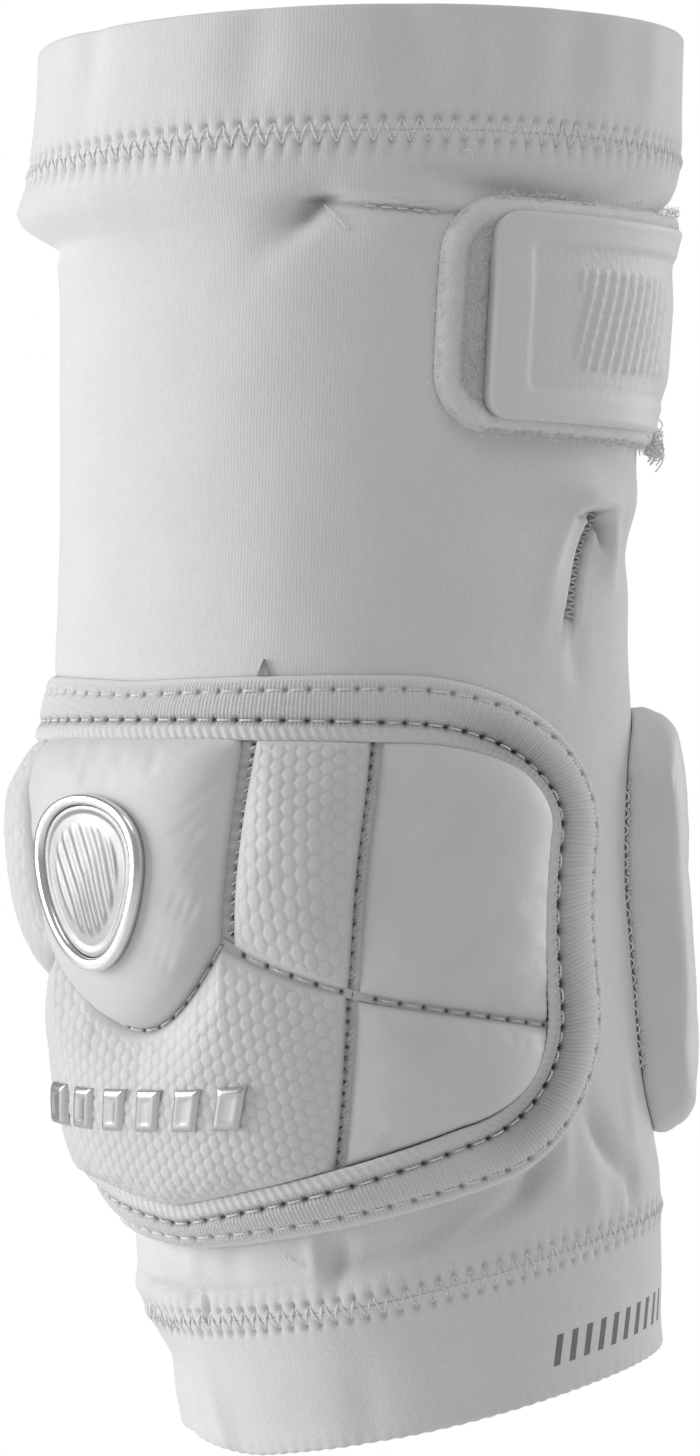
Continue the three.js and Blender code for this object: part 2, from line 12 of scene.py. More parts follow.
import bpy
import numpy as np
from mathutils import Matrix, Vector


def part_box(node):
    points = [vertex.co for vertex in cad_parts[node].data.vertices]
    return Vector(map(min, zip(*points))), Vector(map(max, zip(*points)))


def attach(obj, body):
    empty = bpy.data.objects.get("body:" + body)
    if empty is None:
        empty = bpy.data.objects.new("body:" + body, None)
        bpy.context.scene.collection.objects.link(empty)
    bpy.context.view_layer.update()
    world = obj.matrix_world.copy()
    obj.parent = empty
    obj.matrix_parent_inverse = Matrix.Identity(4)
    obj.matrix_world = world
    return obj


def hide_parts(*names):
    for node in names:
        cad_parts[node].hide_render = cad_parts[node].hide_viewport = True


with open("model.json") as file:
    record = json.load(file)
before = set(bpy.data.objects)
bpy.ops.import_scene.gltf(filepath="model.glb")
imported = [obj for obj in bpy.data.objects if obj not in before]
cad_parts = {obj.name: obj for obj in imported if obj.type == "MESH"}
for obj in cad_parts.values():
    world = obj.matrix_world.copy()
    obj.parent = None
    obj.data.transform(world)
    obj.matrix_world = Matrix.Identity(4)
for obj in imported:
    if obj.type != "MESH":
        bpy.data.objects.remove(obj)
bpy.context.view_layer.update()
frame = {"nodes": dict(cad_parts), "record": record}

MM = 0.001
SLOTS = [slot["name"] for slot in frame["record"].get("material_slots", [])]
print("frame:", len(frame["nodes"]), "nodes, slots", SLOTS)

# %% [markdown]
# ## The camera
# The photograph is taken level with the upper arm and from far away, because the cuffs show no
# curve from above or below. A long lens at a few metres gives the same flat view. The camera comes
# first, so that every later cell can be judged in the picture.

# %% Place the camera
AZIMUTH = math.radians(47.5)
CAMERA_DISTANCE = 3.2
FRAME_HEIGHT = 0.2694            # metres that the picture's height covers at the arm
FRAME_MIDDLE = 0.0281            # height of the picture's middle
FRAME_SHIFT = 0.00185            # how far the arm's axis lies left of it
SENSOR = 36

camera_side = Vector((math.sin(AZIMUTH), -math.cos(AZIMUTH), 0))
camera_right = Vector((math.cos(AZIMUTH), math.sin(AZIMUTH), 0))
target = camera_right * FRAME_SHIFT + Vector((0, 0, FRAME_MIDDLE))
camera = bpy.data.objects.new("camera", bpy.data.cameras.new("camera"))
camera.data.sensor_width = SENSOR
camera.data.lens = SENSOR * CAMERA_DISTANCE / FRAME_HEIGHT
camera.data.clip_end = 50
camera.location = target + camera_side * CAMERA_DISTANCE
camera.rotation_euler = (-camera_side).to_track_quat("-Z", "Y").to_euler()
bpy.context.scene.collection.objects.link(camera)
bpy.context.scene.camera = camera
print("camera lens", round(camera.data.lens, 1), "mm")

# %% [markdown]
# ## Light and floor
# The knit is bright at the left edge, darkest a little right of the middle and lighter again at
# the far right: one large soft box on the left, a weaker one at the right behind, the weakest
# above, and little light from the front. A photographed sky could light it too, but three boxes are
# easier to steer. The background is white paper, so the world is white to the camera and dim to the
# surfaces.

# %% Set the lights, the world and the floor
FLOOR_HEIGHT = -0.5
FLOOR_RADIUS = 8
WORLD_LIGHT = 0.32               # what the white room gives back to the surfaces
PAPER = 1.0                      # what the camera sees behind the object
# turn round the arm in degrees, distance, height, size and power of each box
BOXES = {
    "key": (-44, 1.6, 0.30, 1.1, 19),
    "fill": (172, 1.6, 0.25, 0.9, 10),
    "top": (60, 1.1, 1.6, 0.9, 6),
}


def soft_box(name, turn, distance, height, size, power):
    """A square area light that looks at the elbow."""
    light = bpy.data.lights.new(name, "AREA")
    light.energy = power
    light.size = size
    box = bpy.data.objects.new(name, light)
    angle = math.radians(turn)
    box.location = (distance * math.sin(angle), -distance * math.cos(angle), height)
    towards = Vector((0, 0, FRAME_MIDDLE)) - box.location
    box.rotation_euler = towards.to_track_quat("-Z", "Y").to_euler()
    bpy.context.scene.collection.objects.link(box)


for name, settings in BOXES.items():
    soft_box(name, *settings)

scene = bpy.context.scene
scene.view_settings.view_transform = "Standard"
world = bpy.data.worlds.new("paper room")
scene.world = world
world.use_nodes = True
room = world.node_tree
background = room.nodes["Background"]
strength = room.nodes.new("ShaderNodeMapRange")
rays = room.nodes.new("ShaderNodeLightPath")
strength.inputs["To Min"].default_value = WORLD_LIGHT
strength.inputs["To Max"].default_value = PAPER
background.inputs["Color"].default_value = (1, 1, 1, 1)
room.links.new(rays.outputs["Is Camera Ray"], strength.inputs["Value"])
room.links.new(strength.outputs["Result"], background.inputs["Strength"])

bpy.ops.mesh.primitive_circle_add(
    vertices=96, radius=FLOOR_RADIUS, fill_type="NGON", location=(0, 0, FLOOR_HEIGHT))
floor = bpy.context.object
floor.name = "floor"

# %% [markdown]
# ## Shader sums
# A material is a graph of nodes, and wiring it by hand takes many lines. Here a small class wraps
# a socket, so that `1 - mask` or `groove * 0.4` adds the Math nodes by itself. The finishes below
# then read like the sums that they are.

# %% A class for sockets
class Wire:
    """A number that varies over a surface, held by a socket of a node tree."""

    def __init__(self, finish, socket):
        self.finish = finish
        self.socket = socket

    def math(self, operation, *others):
        """A Math node that takes this number first."""
        sockets = dict(enumerate((self, *others)))
        return self.finish.node("ShaderNodeMath", {"operation": operation}, sockets)

    def __add__(self, other):
        return self.math("ADD", other)

    def __sub__(self, other):
        return self.math("SUBTRACT", other)

    def __rsub__(self, other):
        return self.finish.node("ShaderNodeMath", {"operation": "SUBTRACT"}, {0: other, 1: self})

    def __mul__(self, other):
        return self.math("MULTIPLY", other)

    def __truediv__(self, other):
        return self.math("DIVIDE", other)

    __radd__ = __add__
    __rmul__ = __mul__

    def wave(self, pitch):
        """A cosine from -1 to 1 that repeats every pitch."""
        return (self * (2 * math.pi / pitch)).math("COSINE")

    def step(self, low, high):
        """0 below low, 1 above high and a soft ramp in between."""
        settings = {"interpolation_type": "SMOOTHSTEP"}
        return self.finish.node("ShaderNodeMapRange", settings, {
            "Value": self, "From Min": low, "From Max": high})


class Finish:
    """A material, with one method that adds any node."""

    def __init__(self, name, roughness, sheen=0.0, specular=0.5, metallic=0.0):
        self.material = bpy.data.materials.new(name)
        self.material.use_nodes = True
        self.tree = self.material.node_tree
        self.shader = self.tree.nodes["Principled BSDF"]
        self.shader.inputs["Roughness"].default_value = roughness
        self.shader.inputs["Sheen Weight"].default_value = sheen
        self.shader.inputs["Sheen Roughness"].default_value = 0.4
        self.shader.inputs["Specular IOR Level"].default_value = specular
        self.shader.inputs["Metallic"].default_value = metallic

    def node(self, kind, settings=None, sockets=None, output=0):
        """A node: its settings first, then a value or a link for each socket."""
        node = self.tree.nodes.new(kind)
        for key, value in (settings or {}).items():
            setattr(node, key, value)
        for key, value in (sockets or {}).items():
            if isinstance(value, Wire):
                self.tree.links.new(value.socket, node.inputs[key])
            else:
                node.inputs[key].default_value = value
        return Wire(self, node.outputs[output])

    def feed(self, socket, wire):
        self.tree.links.new(wire.socket, self.shader.inputs[socket])

    def spot(self):
        """The point in the object's own metres."""
        return self.node("ShaderNodeTexCoord", output=3)

    def grain(self, size, detail=2.0):
        """Soft noise with lumps of a size in millimetres."""
        sockets = {"Vector": self.spot(), "Scale": 1 / (size * MM), "Detail": detail}
        return self.node("ShaderNodeTexNoise", {}, sockets)

    def place(self):
        """The two coordinates of the piece's own surface, in millimetres."""
        where = self.node("ShaderNodeUVMap", {"uv_map": "place"})
        split = self.node("ShaderNodeSeparateXYZ", {}, {"Vector": where})
        return split, Wire(self, split.socket.node.outputs[1])

    def shade(self):
        """How dark a point is painted, from 0 to 1: painted shade in seams, holes, creases and recesses,
        and a few real tones such as the notch mark's grey.
        """
        return self.node("ShaderNodeAttribute", {"attribute_name": "shade"}, {}, 2)

    def colour(self, light, dark, mask):
        """A grey between two tones, by a mask."""
        settings = {"data_type": "RGBA", "clamp_factor": True}
        sockets = {0: mask, 6: (light, light, light, 1), 7: (dark, dark, dark, 1)}   # 6 and 7 are A and B
        self.feed("Base Color", self.node("ShaderNodeMix", settings, sockets, 2))

    def bump(self, height, depth):
        """Raises the surface by the height times a depth in millimetres."""
        sockets = {"Height": height, "Distance": depth * MM, "Strength": 1.0}
        self.feed("Normal", self.node("ShaderNodeBump", {}, sockets))
        return self.material


def smooth(share):
    share = np.clip(share, 0, 1)
    return share * share * (3 - 2 * share)


def lerp(a, b, share):
    return a + (b - a) * share


def bell(distance, width):
    """1 at a distance of 0, falling softly over the width."""
    return np.exp(-(distance / width) ** 2)


def unit(vectors):
    return vectors / (np.linalg.norm(vectors, axis=-1, keepdims=True) + 1e-9)


def running_length(points):
    """How far along a line each of its points lies."""
    return np.concatenate([[0], np.cumsum(np.linalg.norm(np.diff(points, axis=0), axis=-1))])


# %% [markdown]
# ## The worn sleeve
# Everything on this pad lies on one surface: the sleeve as the arm fills it. A point on it has a
# turn round the arm in degrees, from the middle of the elbow cap, a rise along the arm in
# millimetres and a lift above the knit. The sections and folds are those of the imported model. They
# could be read off its mesh, but that has facets, and a formula can be as fine as a stitch.

# %% The sleeve as a formula
UPPER_LENGTH = 154.5
LOWER_LENGTH = 96.5
ELBOW_RADIUS = 53.5
UPPER_LEAN = 2.6
LOWER_LEAN = 14
BEND_LENGTH = 12
UPPER_CUFF_HEIGHT = 23
LOWER_CUFF_HEIGHT = 26.5
CUFF_TILT = 4.8
WRIST_TILT = 2.4
MIDDLE_PART = 0.35
FOLD_LIFT = 3
SLEEVE_WALL = 1.6
PER_DEGREE = math.radians(ELBOW_RADIUS)
# share of the length, share of the radius, squareness
SECTIONS = [
    (-1.0, 0.832, 0.03), (-0.93, 0.842, 0.035), (-0.83, 0.878, 0.04), (-0.75, 0.9, 0.045),
    (-0.62, 0.922, 0.05), (-0.41, 0.944, 0.06), (-0.18, 0.981, 0.06), (0.0, 1.0, 0.06),
    (0.1, 1.009, 0.06), (0.2, 1.009, 0.06), (0.29, 0.987, 0.05), (0.39, 0.987, 0.04),
    (0.52, 0.996, 0.035), (0.64, 1.009, 0.03), (0.74, 1.02, 0.03), (0.79, 1.062, 0.03),
    (0.83, 1.099, 0.025), (0.86, 1.116, 0.02), (0.93, 1.108, 0.02), (1.0, 1.107, 0.02),
]
# turn, share of the length, half width in degrees, half height as a share of the radius, lift
FOLDS = [
    (-42, 0.79, 30, 0.1, 1.3), (42, 0.785, 7, 0.09, -0.7), (52, 0.74, 14, 0.1, 0.35),
    (105, 0.475, 14, 0.08, 1.0), (108, 0.38, 5, 0.16, -0.5), (124, 0.44, 7, 0.1, 0.6),
    (118, -0.64, 12, 0.09, 0.5), (36, -0.665, 9, 0.05, 0.35), (228, 0.05, 13, 0.12, -0.8),
    (240, 0.22, 18, 0.1, 0.6), (238, -0.16, 18, 0.1, 0.6), (250, -0.5, 20, 0.1, 0.4),
]
SECTION_BLUR = 2.2               # how softly one section runs into the next
SECTION_STEP = 0.5


def level_of(along):
    return along * (LOWER_LENGTH if along < 0 else UPPER_LENGTH)


def section_table(column):
    """One column of SECTIONS at close, even levels, with its corners rounded."""
    levels = [level_of(row[0]) for row in SECTIONS]
    reach = round(3 * SECTION_BLUR / SECTION_STEP)
    even = np.interp(SECTION_RISES, levels, [row[column] for row in SECTIONS])
    window = bell(np.arange(-reach, reach + 1) * SECTION_STEP, SECTION_BLUR)
    long = np.pad(even, reach, mode="reflect", reflect_type="odd")
    return np.convolve(long, window / window.sum(), mode="valid")


SECTION_RISES = np.arange(-LOWER_LENGTH, UPPER_LENGTH + SECTION_STEP, SECTION_STEP)
RADII = section_table(1)
SQUARES = section_table(2)


def turn_between(a, b):
    return (a - b + 540) % 360 - 180


def fold_lift(turn, rise):
    total = 0
    for middle, along, half, tall, lift in FOLDS:
        across = turn_between(turn, middle) / half
        up = (rise - level_of(along)) / (tall * ELBOW_RADIUS)
        total = total + FOLD_LIFT * lift * np.exp(-(across ** 2 + up ** 2) / 2)
    return total


UPPER_SLOPE = math.tan(math.radians(UPPER_LEAN))
LOWER_SLOPE = math.tan(math.radians(LOWER_LEAN))
MEAN_SLOPE = (UPPER_SLOPE - LOWER_SLOPE) / 2
BEND_SLOPE = (UPPER_SLOPE + LOWER_SLOPE) / 2


# The photograph's left outline stands a little in or out of the plain sections: rise, millimetres
LEFT_TRIM = np.array([
    (-115, 1.5), (-95, 1.5), (-87, 0.5), (-80, -1.6), (-72.5, 0.0), (-65, 1.5), (-58.5, -0.4),
    (-52, -3.6), (-46, -2.6), (-41, 0.8), (-36, 0.2), (-28, -0.4), (-20, -2.1), (-11, -2.4),
    (-3, -1.7), (8, -1.3), (16, -1.1), (24, -3.0), (31, -2.3), (37, -0.6), (44, 0), (200, 0)])
LEFT_TRIM_TURN, LEFT_TRIM_REACH = -44, 28


def left_trim(turn, rise):
    near = bell(turn_between(turn, LEFT_TRIM_TURN) * PER_DEGREE, LEFT_TRIM_REACH)
    return near * np.interp(rise, *LEFT_TRIM.T)


def form(turn, rise, lift=0.0):
    """Points of the worn sleeve in millimetres, lifted off the knit."""
    turn, rise, lift = np.broadcast_arrays(*(np.asarray(a, float) for a in (turn, rise, lift)))
    angle = np.radians(turn)
    square = np.interp(rise, SECTION_RISES, SQUARES) * np.cos(2 * angle) ** 2
    radius = ELBOW_RADIUS * np.interp(rise, SECTION_RISES, RADII) * (1 - square)
    reach = radius + fold_lift(turn, rise) + left_trim(turn, rise) + lift
    bend = np.hypot(rise, BEND_LENGTH)
    slope = MEAN_SLOPE + BEND_SLOPE * rise / bend
    offset = MEAN_SLOPE * rise + BEND_SLOPE * (bend - BEND_LENGTH)
    length = np.hypot(1, slope)
    forward = reach * np.cos(angle) / length
    return np.stack([reach * np.sin(angle), offset - forward, rise + forward * slope], axis=-1)


def tilted_rise(turn, level):
    """The rows near a hem tilt with it."""
    length = np.where(level < 0, LOWER_LENGTH - LOWER_CUFF_HEIGHT, UPPER_LENGTH - UPPER_CUFF_HEIGHT)
    share = smooth((np.abs(level) / length - MIDDLE_PART) / (1 - MIDDLE_PART))
    return level + np.where(level < 0, WRIST_TILT, CUFF_TILT) * share * np.sin(np.radians(turn))


elbow = form(0, 0)
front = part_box("sleeve_body")[0][1] / MM
print("front of the elbow at y", round(float(elbow[1]), 1), "mm, the packed sleeve's at", round(front, 1))

# %% [markdown]
# ## Meshes from grids
# Almost every piece is a grid of points. Blender's Solidify or a sculpt could thicken them, but
# here each mesh is closed by hand: a tube joins its last column to its first, a pad gets a side
# wall and an underside. Each corner also stores its own place on the cloth in millimetres, so that
# a knit or a rib keeps its true size, and each point a painted shade that darkens seams and holes.

# %% Build closed meshes
def quads_of(rows, columns, wrap=False, loop=False):
    """Vertex numbers of a grid's faces, and the unwrapped row and column of each corner."""
    row, column = np.meshgrid(
        np.arange(rows if loop else rows - 1), np.arange(columns if wrap else columns - 1),
        indexing="ij")
    corners = [(0, 0), (0, 1), (1, 1), (1, 0)]
    r = np.stack([row + a for a, _ in corners], -1).reshape(-1, 4)
    c = np.stack([column + b for _, b in corners], -1).reshape(-1, 4)
    return (r % rows) * columns + c % columns, r, c


def add_piece(name, points, faces, places, shade, finish, slot, nodes=()):
    """One piece: points in millimetres, faces, a place for each corner, a shade for each point."""
    mesh = bpy.data.meshes.new(name)
    mesh.from_pydata((np.asarray(points) * MM).tolist(), [], faces)
    mesh.polygons.foreach_set("use_smooth", [True] * len(mesh.polygons))
    layer = mesh.uv_layers.new(name="place")
    layer.data.foreach_set("uv", np.asarray(places, np.float32).ravel())
    tone = mesh.attributes.new("shade", "FLOAT", "POINT")
    tone.data.foreach_set("value", np.broadcast_to(shade, len(points)).astype(np.float32).ravel())
    mesh.materials.append(finish)
    piece = bpy.data.objects.new(name, mesh)
    scene.collection.objects.link(piece)
    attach(piece, "root")
    if nodes:
        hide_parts(*nodes)
    mesh.update()
    print(name, sum(len(p) - 2 for p in faces), "triangles")
    return piece


def add_tube(name, points, places, shade, **looks):
    """A closed band: the last row joins the first and the last column joins the first."""
    rows, columns, _ = points.shape
    faces, r, c = quads_of(rows, columns, wrap=True, loop=True)
    corner_places = places[np.minimum(r, rows - 1), c]
    return add_piece(name, points.reshape(-1, 3), faces.tolist(), corner_places,
                     shade.ravel(), **looks)


def rim_of(rows, columns):
    """The numbers of a grid's edge points, once round against the clock."""
    at = np.arange(rows * columns).reshape(rows, columns)
    return np.concatenate([at[0, :-1], at[:-1, -1], at[-1, :0:-1], at[:0:-1, 0]])


def closed_faces(rows, columns):
    """A grid, the same grid turned over below it and the wall between them."""
    faces, _, _ = quads_of(rows, columns)
    rim, size = rim_of(rows, columns), rows * columns
    wall = np.stack([rim, rim + size, np.roll(rim, -1) + size, np.roll(rim, -1)], -1)
    return np.concatenate([faces, faces[:, ::-1] + size, wall])


UNDER_RINGS = (0.75, 0.45, 0.15)


def add_pad(name, turn, rise, over, shade, seat=0.5, walls=(0.5,), bulge=0.0, **looks):
    """A pad on the sleeve: a top, a side wall down to the seat, and rings that close it below."""
    rows, columns = turn.shape
    top = form(turn, rise, over).reshape(-1, 3)
    rim = rim_of(rows, columns)
    rim_turn, rim_rise, rim_lift = (np.ravel(a)[rim] for a in np.broadcast_arrays(turn, rise, over))
    middle = np.array([turn.mean(), rise.mean()])
    rings = []
    for share in (*walls, 1):
        out = 1 + bulge * math.sin(math.pi * share)
        rings.append((out, lerp(rim_lift, seat, share)))
    rings += [(share, np.full(len(rim), seat)) for share in UNDER_RINGS]
    points = [top]
    for share, lift in rings:
        points.append(form(
            lerp(middle[0], rim_turn, share), lerp(middle[1], rim_rise, share), lift))
    points.append(form(*middle, seat)[None])
    points = np.concatenate(points)
    faces, _, _ = quads_of(rows, columns)
    place = np.stack([turn * PER_DEGREE, rise], -1).reshape(-1, 2)
    here, first = rim, len(top)
    sides = []
    for _ in rings:
        below = np.arange(first, first + len(rim))
        sides.append(np.stack([here, below, np.roll(below, -1), np.roll(here, -1)], -1))
        here, first = below, first + len(rim)
    fan = np.stack([here, np.full(len(rim), first), np.roll(here, -1)], -1)
    all_places = np.concatenate([place] + [place[rim]] * len(rings) + [middle[None]])
    all_faces = faces.tolist() + np.concatenate(sides).tolist() + fan.tolist()
    numbers = np.concatenate([np.ravel(faces), np.concatenate(sides).ravel(), fan.ravel()])
    shades = np.zeros(len(points))
    shades[:len(top)] = np.ravel(np.broadcast_to(shade, turn.shape))
    return add_piece(name, points, all_faces, all_places[numbers], shades, **looks)


def spread(count, edge=0.4):
    """Shares from 0 to 1, closer together near both ends."""
    even = np.linspace(0, 1, count)
    return lerp(even, (1 - np.cos(np.pi * even)) / 2, edge)


# %% [markdown]
# ## Thread
# Stitches are what makes sewn work look sewn. They could be painted as a bump, but a thread casts
# a shadow and catches light, so each one is a thin tube that dips into its needle holes. All the
# stitches of one seam are joined in one mesh.

# %% Threads as thin tubes
def add_threads(name, paths, radius, finish, slot="knit", sides=6):
    """Thin tubes along paths of equal length, an array of (paths, points, 3)."""
    paths = np.asarray(paths, float)
    count, steps, _ = paths.shape
    along = unit(np.gradient(paths, axis=1))
    across = unit(np.cross(along, paths * [1, 1, 0]))
    up = np.cross(across, along)
    angle = 2 * np.pi * np.arange(sides) / sides
    ring = (np.cos(angle)[:, None] * across[:, :, None] + np.sin(angle)[:, None] * up[:, :, None])
    points = (paths[:, :, None] + radius * ring).reshape(-1, 3)
    faces, _, _ = quads_of(steps, sides, wrap=True)
    size = steps * sides
    all_faces = (faces[None] + size * np.arange(count)[:, None, None]).reshape(-1, 4)
    start = np.arange(sides)[None] + size * np.arange(count)[:, None]
    ends = start[:, ::-1] + size - sides
    everything = all_faces[:, ::-1].tolist() + start.tolist() + ends.tolist()
    corners = sum(len(face) for face in everything)
    places = np.zeros((corners, 2))
    return add_piece(name, points, everything, places, 0.0, finish=finish, slot=slot)


def stitches(start, end, lifts):
    """Paths from start to end places (turn, rise, lift), raised by a profile in between."""
    shares = np.linspace(0, 1, len(lifts))[None, :]
    turn, rise, lift = (lerp(start[:, k, None], end[:, k, None], shares) for k in range(3))
    return form(turn, rise, lift + np.asarray(lifts)[None])


# %% [markdown]
# ## The knit
# A fine rib knit: wales run along the arm 0.65 mm apart, with a small V for each stitch. Modelling
# every loop would take millions of faces, and an image would repeat, so the loops are two waves in
# the bump. A little sheen gives the soft bright edge of polyester.

# %% The finishes for cloth and thread
def knit_finish(name, wale=0.65, tone=0.80, depth=0.035, bars=None):
    knit = Finish(name, roughness=0.9, sheen=0.25, specular=0.25)
    x, y = knit.place()
    wander = knit.grain(3.0) * 0.5
    column = (x + wander).wave(wale)
    loops = (y * 1.25 + column * 0.18).wave(0.62)
    fibre = knit.grain(0.22, 3.0)
    speckle = knit.grain(0.8, 2.0)
    height = column * 0.3 + loops * 0.14 + fibre * 0.9 + speckle * 1.6
    cloudy = knit.grain(14.0).step(0.35, 0.7) * 0.025
    # darker by the shade attribute, by random cloudy and speckled tone, and by painted shade in the troughs
    # between the wales
    dark = knit.shade() + cloudy + speckle.step(0.4, 0.8) * 0.05 + (0.5 - column * 0.5) * 0.03
    if bars:
        low, high, first, last, pitch = bars
        lean = x - y * 0.3
        part = (lean / pitch).math("FRACT")
        inside = y.step(low, low + 0.15) * (1 - y.step(high - 0.15, high))
        run = lean.step(first, first + 0.1) * (1 - lean.step(last - 0.1, last))
        stripe = part.step(0.30, 0.33) * (1 - part.step(0.72, 0.75))
        dark = dark + stripe * inside * run * (0.62 + fibre * 0.25)
    knit.colour(tone, 0.06, dark)
    return knit.bump(height, depth)


def thread_finish(name, light=0.92, dark=0.60):
    thread = Finish(name, roughness=0.7, sheen=0.2, specular=0.3)
    twist = thread.grain(0.35, 1.0)
    thread.colour(light, dark, twist.step(0.35, 0.75) * 0.8)
    return thread.bump(twist, 0.05)


def floor_finish():
    paper = Finish("paper", roughness=0.95, specular=0.1)
    paper.colour(0.9, 0.86, paper.grain(40.0))
    return paper.material


CUFF_BARS = (-90.6, -84.4, 81 * PER_DEGREE + 26.2, 129 * PER_DEGREE + 26.2, 4.6)
KNIT = knit_finish("knit")
WRIST_KNIT = knit_finish("wrist knit", bars=CUFF_BARS)
THREAD = thread_finish("thread")
# a darker copy of the thread, darkened with painted shade, for the stitches deep in the side seams and in
# the dart's slit
SHADED_THREAD = thread_finish("shaded thread", 0.60, 0.18)
floor.data.materials.append(floor_finish())

# %% [markdown]
# ## Wrinkles, dents and zigzag seams
# Knit that is pulled over a pad shows a few soft wrinkles and sharp little tucks. Cloth physics
# would find some of them, but not the ones in the photograph, so each is one ridge or groove with
# a place, a direction and a width. The hems are sewn on with a zigzag, which dents the knit at
# every needle hole.

# %% Wrinkles in the knit
# turn, rise, direction in degrees, half length, half width, height in millimetres
WRINKLES = [
    (38.2, 120.6, 40, 5.0, 2.3, -3.3), (41.6, 122.6, 6, 4.0, 1.1, -1.5), (42, 125.0, 3, 9.0, 2.0, 1.5),
    (33, 116.5, 50, 9.0, 3.5, -0.8),
    (-44, 120.0, 2, 26.0, 3.6, 2.7), (-44, 114.6, 2, 24.0, 1.9, -1.9), (-45, -62.5, 4, 26.0, 6.0, -1.2),
    (137, 65, 0, 15.0, 7.0, -1.7),
    (-34, 117.4, -24, 7.0, 1.2, -0.6),
    (55, 122.9, -3, 12.0, 0.9, 0.9), (55, 121.5, -3, 12.0, 0.6, -1.1),
    (-10, 151, 85, 14.0, 4.0, -1.1), (28, 148, 82, 12.0, 5.0, -1.0), (56, 150, 98, 12.0, 4.0, -1.5),
    (68, 147, 94, 11.0, 4.0, 1.3), (90, 150, 86, 12.0, 5.0, -1.1), (112, 151, 88, 12.0, 4.0, 0.9),
    (72, 126.6, -8, 19.0, 3.2, -1.9), (72, 131.5, -6, 15.0, 2.6, 0.7), (104, 127, 12, 12.0, 2.4, -1.4),
    (137, 124.5, 0, 14.0, 2.4, -2.2),
    (106, 70.2, -4, 7.0, 1.9, 2.6), (105.5, 67.9, 8, 3.4, 0.9, -1.5), (110, 67.0, -24, 3.4, 0.9, -2.0),
    (113.5, 64.4, -58, 3.2, 1.0, -1.6), (116.5, 63, -66, 7.0, 2.4, 1.4), (99, 64, 62, 7.0, 2.0, 1.0),
    (96, 56, 80, 11.0, 3.0, 0.8), (86, 66, 30, 8.0, 1.6, -0.6), (106, 43, 84, 6.0, 3.0, -1.1),
    (29.5, -57.5, 84, 4.5, 2.0, 1.1), (35.0, -59.0, 66, 5.0, 2.6, -2.0), (42, -60.0, 14, 9.0, 2.4, -1.6),
    (51, -64.0, 14, 16.0, 2.4, 1.4), (68, -58.5, 20, 10.0, 2.4, -1.5),
    (83, -53, 32, 8.0, 3.0, -2.3), (92, -47, 78, 9.0, 3.0, 1.4), (106, -50.5, -60, 9.0, 2.9, -2.3),
    (99, -58.5, 88, 6.0, 3.6, 1.1), (112, -61, 74, 4.0, 1.8, -0.9), (118, -47, 84, 8.0, 2.6, 0.7),
    (-20, -64.2, -3, 8.0, 0.9, -1.2), (-8, -65.6, -14, 4.5, 0.8, -1.1), (-5.0, -68.0, 66, 2.8, 0.8, -1.3),
    (-20, -61.6, -2, 10.0, 1.7, 1.2), (12, -64.2, 2, 22.0, 1.0, -0.8), (12, -66.6, 2, 22.0, 1.5, 0.6),
    (-34, -66, 10, 8.0, 2.4, 0.9), (-28, -70.5, -14, 9.0, 1.4, -1.1), (-6, -57, 80, 6.0, 3.0, 0.5),
    (8, -56.5, 84, 6.0, 3.2, -0.5), (-30, -87, 80, 10.0, 4.0, -0.9), (-12, -90, 96, 10.0, 4.0, 0.9),
    (34, -88, 80, 10.0, 5.0, -0.6), (60, -85, 96, 8.0, 4.0, 0.6),
    (200, 60, 35, 16.0, 3.0, -0.9), (215, 75, -25, 18.0, 3.4, 0.8), (250, 52, 20, 15.0, 3.0, -0.8),
    (232, 10, 5, 14.0, 2.2, -1.4), (236, -8, -8, 14.0, 2.4, -1.2), (228, 1, 2, 16.0, 2.8, 1.1),
    (244, 18, 10, 16.0, 3.0, 1.0), (215, -22, 18, 12.0, 2.4, -0.9), (300, 70, 70, 18.0, 4.0, 0.5),
    (275, 100, 20, 16.0, 3.5, -0.6), (180, -62, 14, 14.0, 2.6, -0.8), (285, -60, -20, 12.0, 2.4, -0.7),
]
# turn, rise, direction, half length, half width and depth of the shadow in the tightest folds
CREASES = [
    (38.6, 120.9, 40, 4.0, 1.7, 0.26), (41.2, 122.7, 5, 3.2, 0.5, 0.42), (34.6, -59.6, 72, 3.6, 1.5, 0.14),
    (84, -53.5, 32, 6.0, 2.0, 0.16), (107, -51, -60, 6.0, 2.0, 0.14),
    (105.5, 67.9, 8, 3.2, 0.6, 0.40), (110, 67.0, -24, 3.2, 0.6, 0.50), (113.3, 64.6, -58, 2.8, 0.7, 0.36),
    (-5.0, -68.0, 66, 2.6, 0.5, 0.26), (-16, -64.8, -6, 10.0, 0.6, 0.15), (60, -57.5, 18, 14.0, 1.6, 0.12),
    (72, 127.0, -10, 13.0, 2.0, 0.10), (55, 121.4, -3, 12.0, 0.5, 0.30), (137, 124, 0, 12.0, 1.5, 0.12),
]
ZIGZAG_TALL = 4.0
TOP_ZIGZAGS = 111
FOOT_ZIGZAGS = 98
BODY_TOP = UPPER_LENGTH - UPPER_CUFF_HEIGHT
BODY_FOOT = LOWER_CUFF_HEIGHT - LOWER_LENGTH
ROUND = 540                      # columns round the sleeve


def folded(turn, rise, folds):
    """The sum of long soft bumps, one for each fold of a list."""
    total = 0
    for middle, height, direction, long, wide, lift in folds:
        x = turn_between(turn, middle) * PER_DEGREE
        y = rise - height
        c, s = math.cos(math.radians(direction)), math.sin(math.radians(direction))
        total = total + lift * bell(x * c + y * s, long) * bell(y * c - x * s, wide)
    return total


def rumple(turn, rise, size, seed):
    """Gentle random waves, the same on every run."""
    random = np.random.default_rng(seed)
    total = 0
    for _ in range(7):
        around = round(360 * PER_DEGREE / size * random.uniform(0.4, 1.2))
        up = 2 * math.pi / size * random.uniform(-1, 1)
        total = total + np.sin(np.radians(turn) * around + rise * up + random.uniform(0, 6.28))
    return total / 7


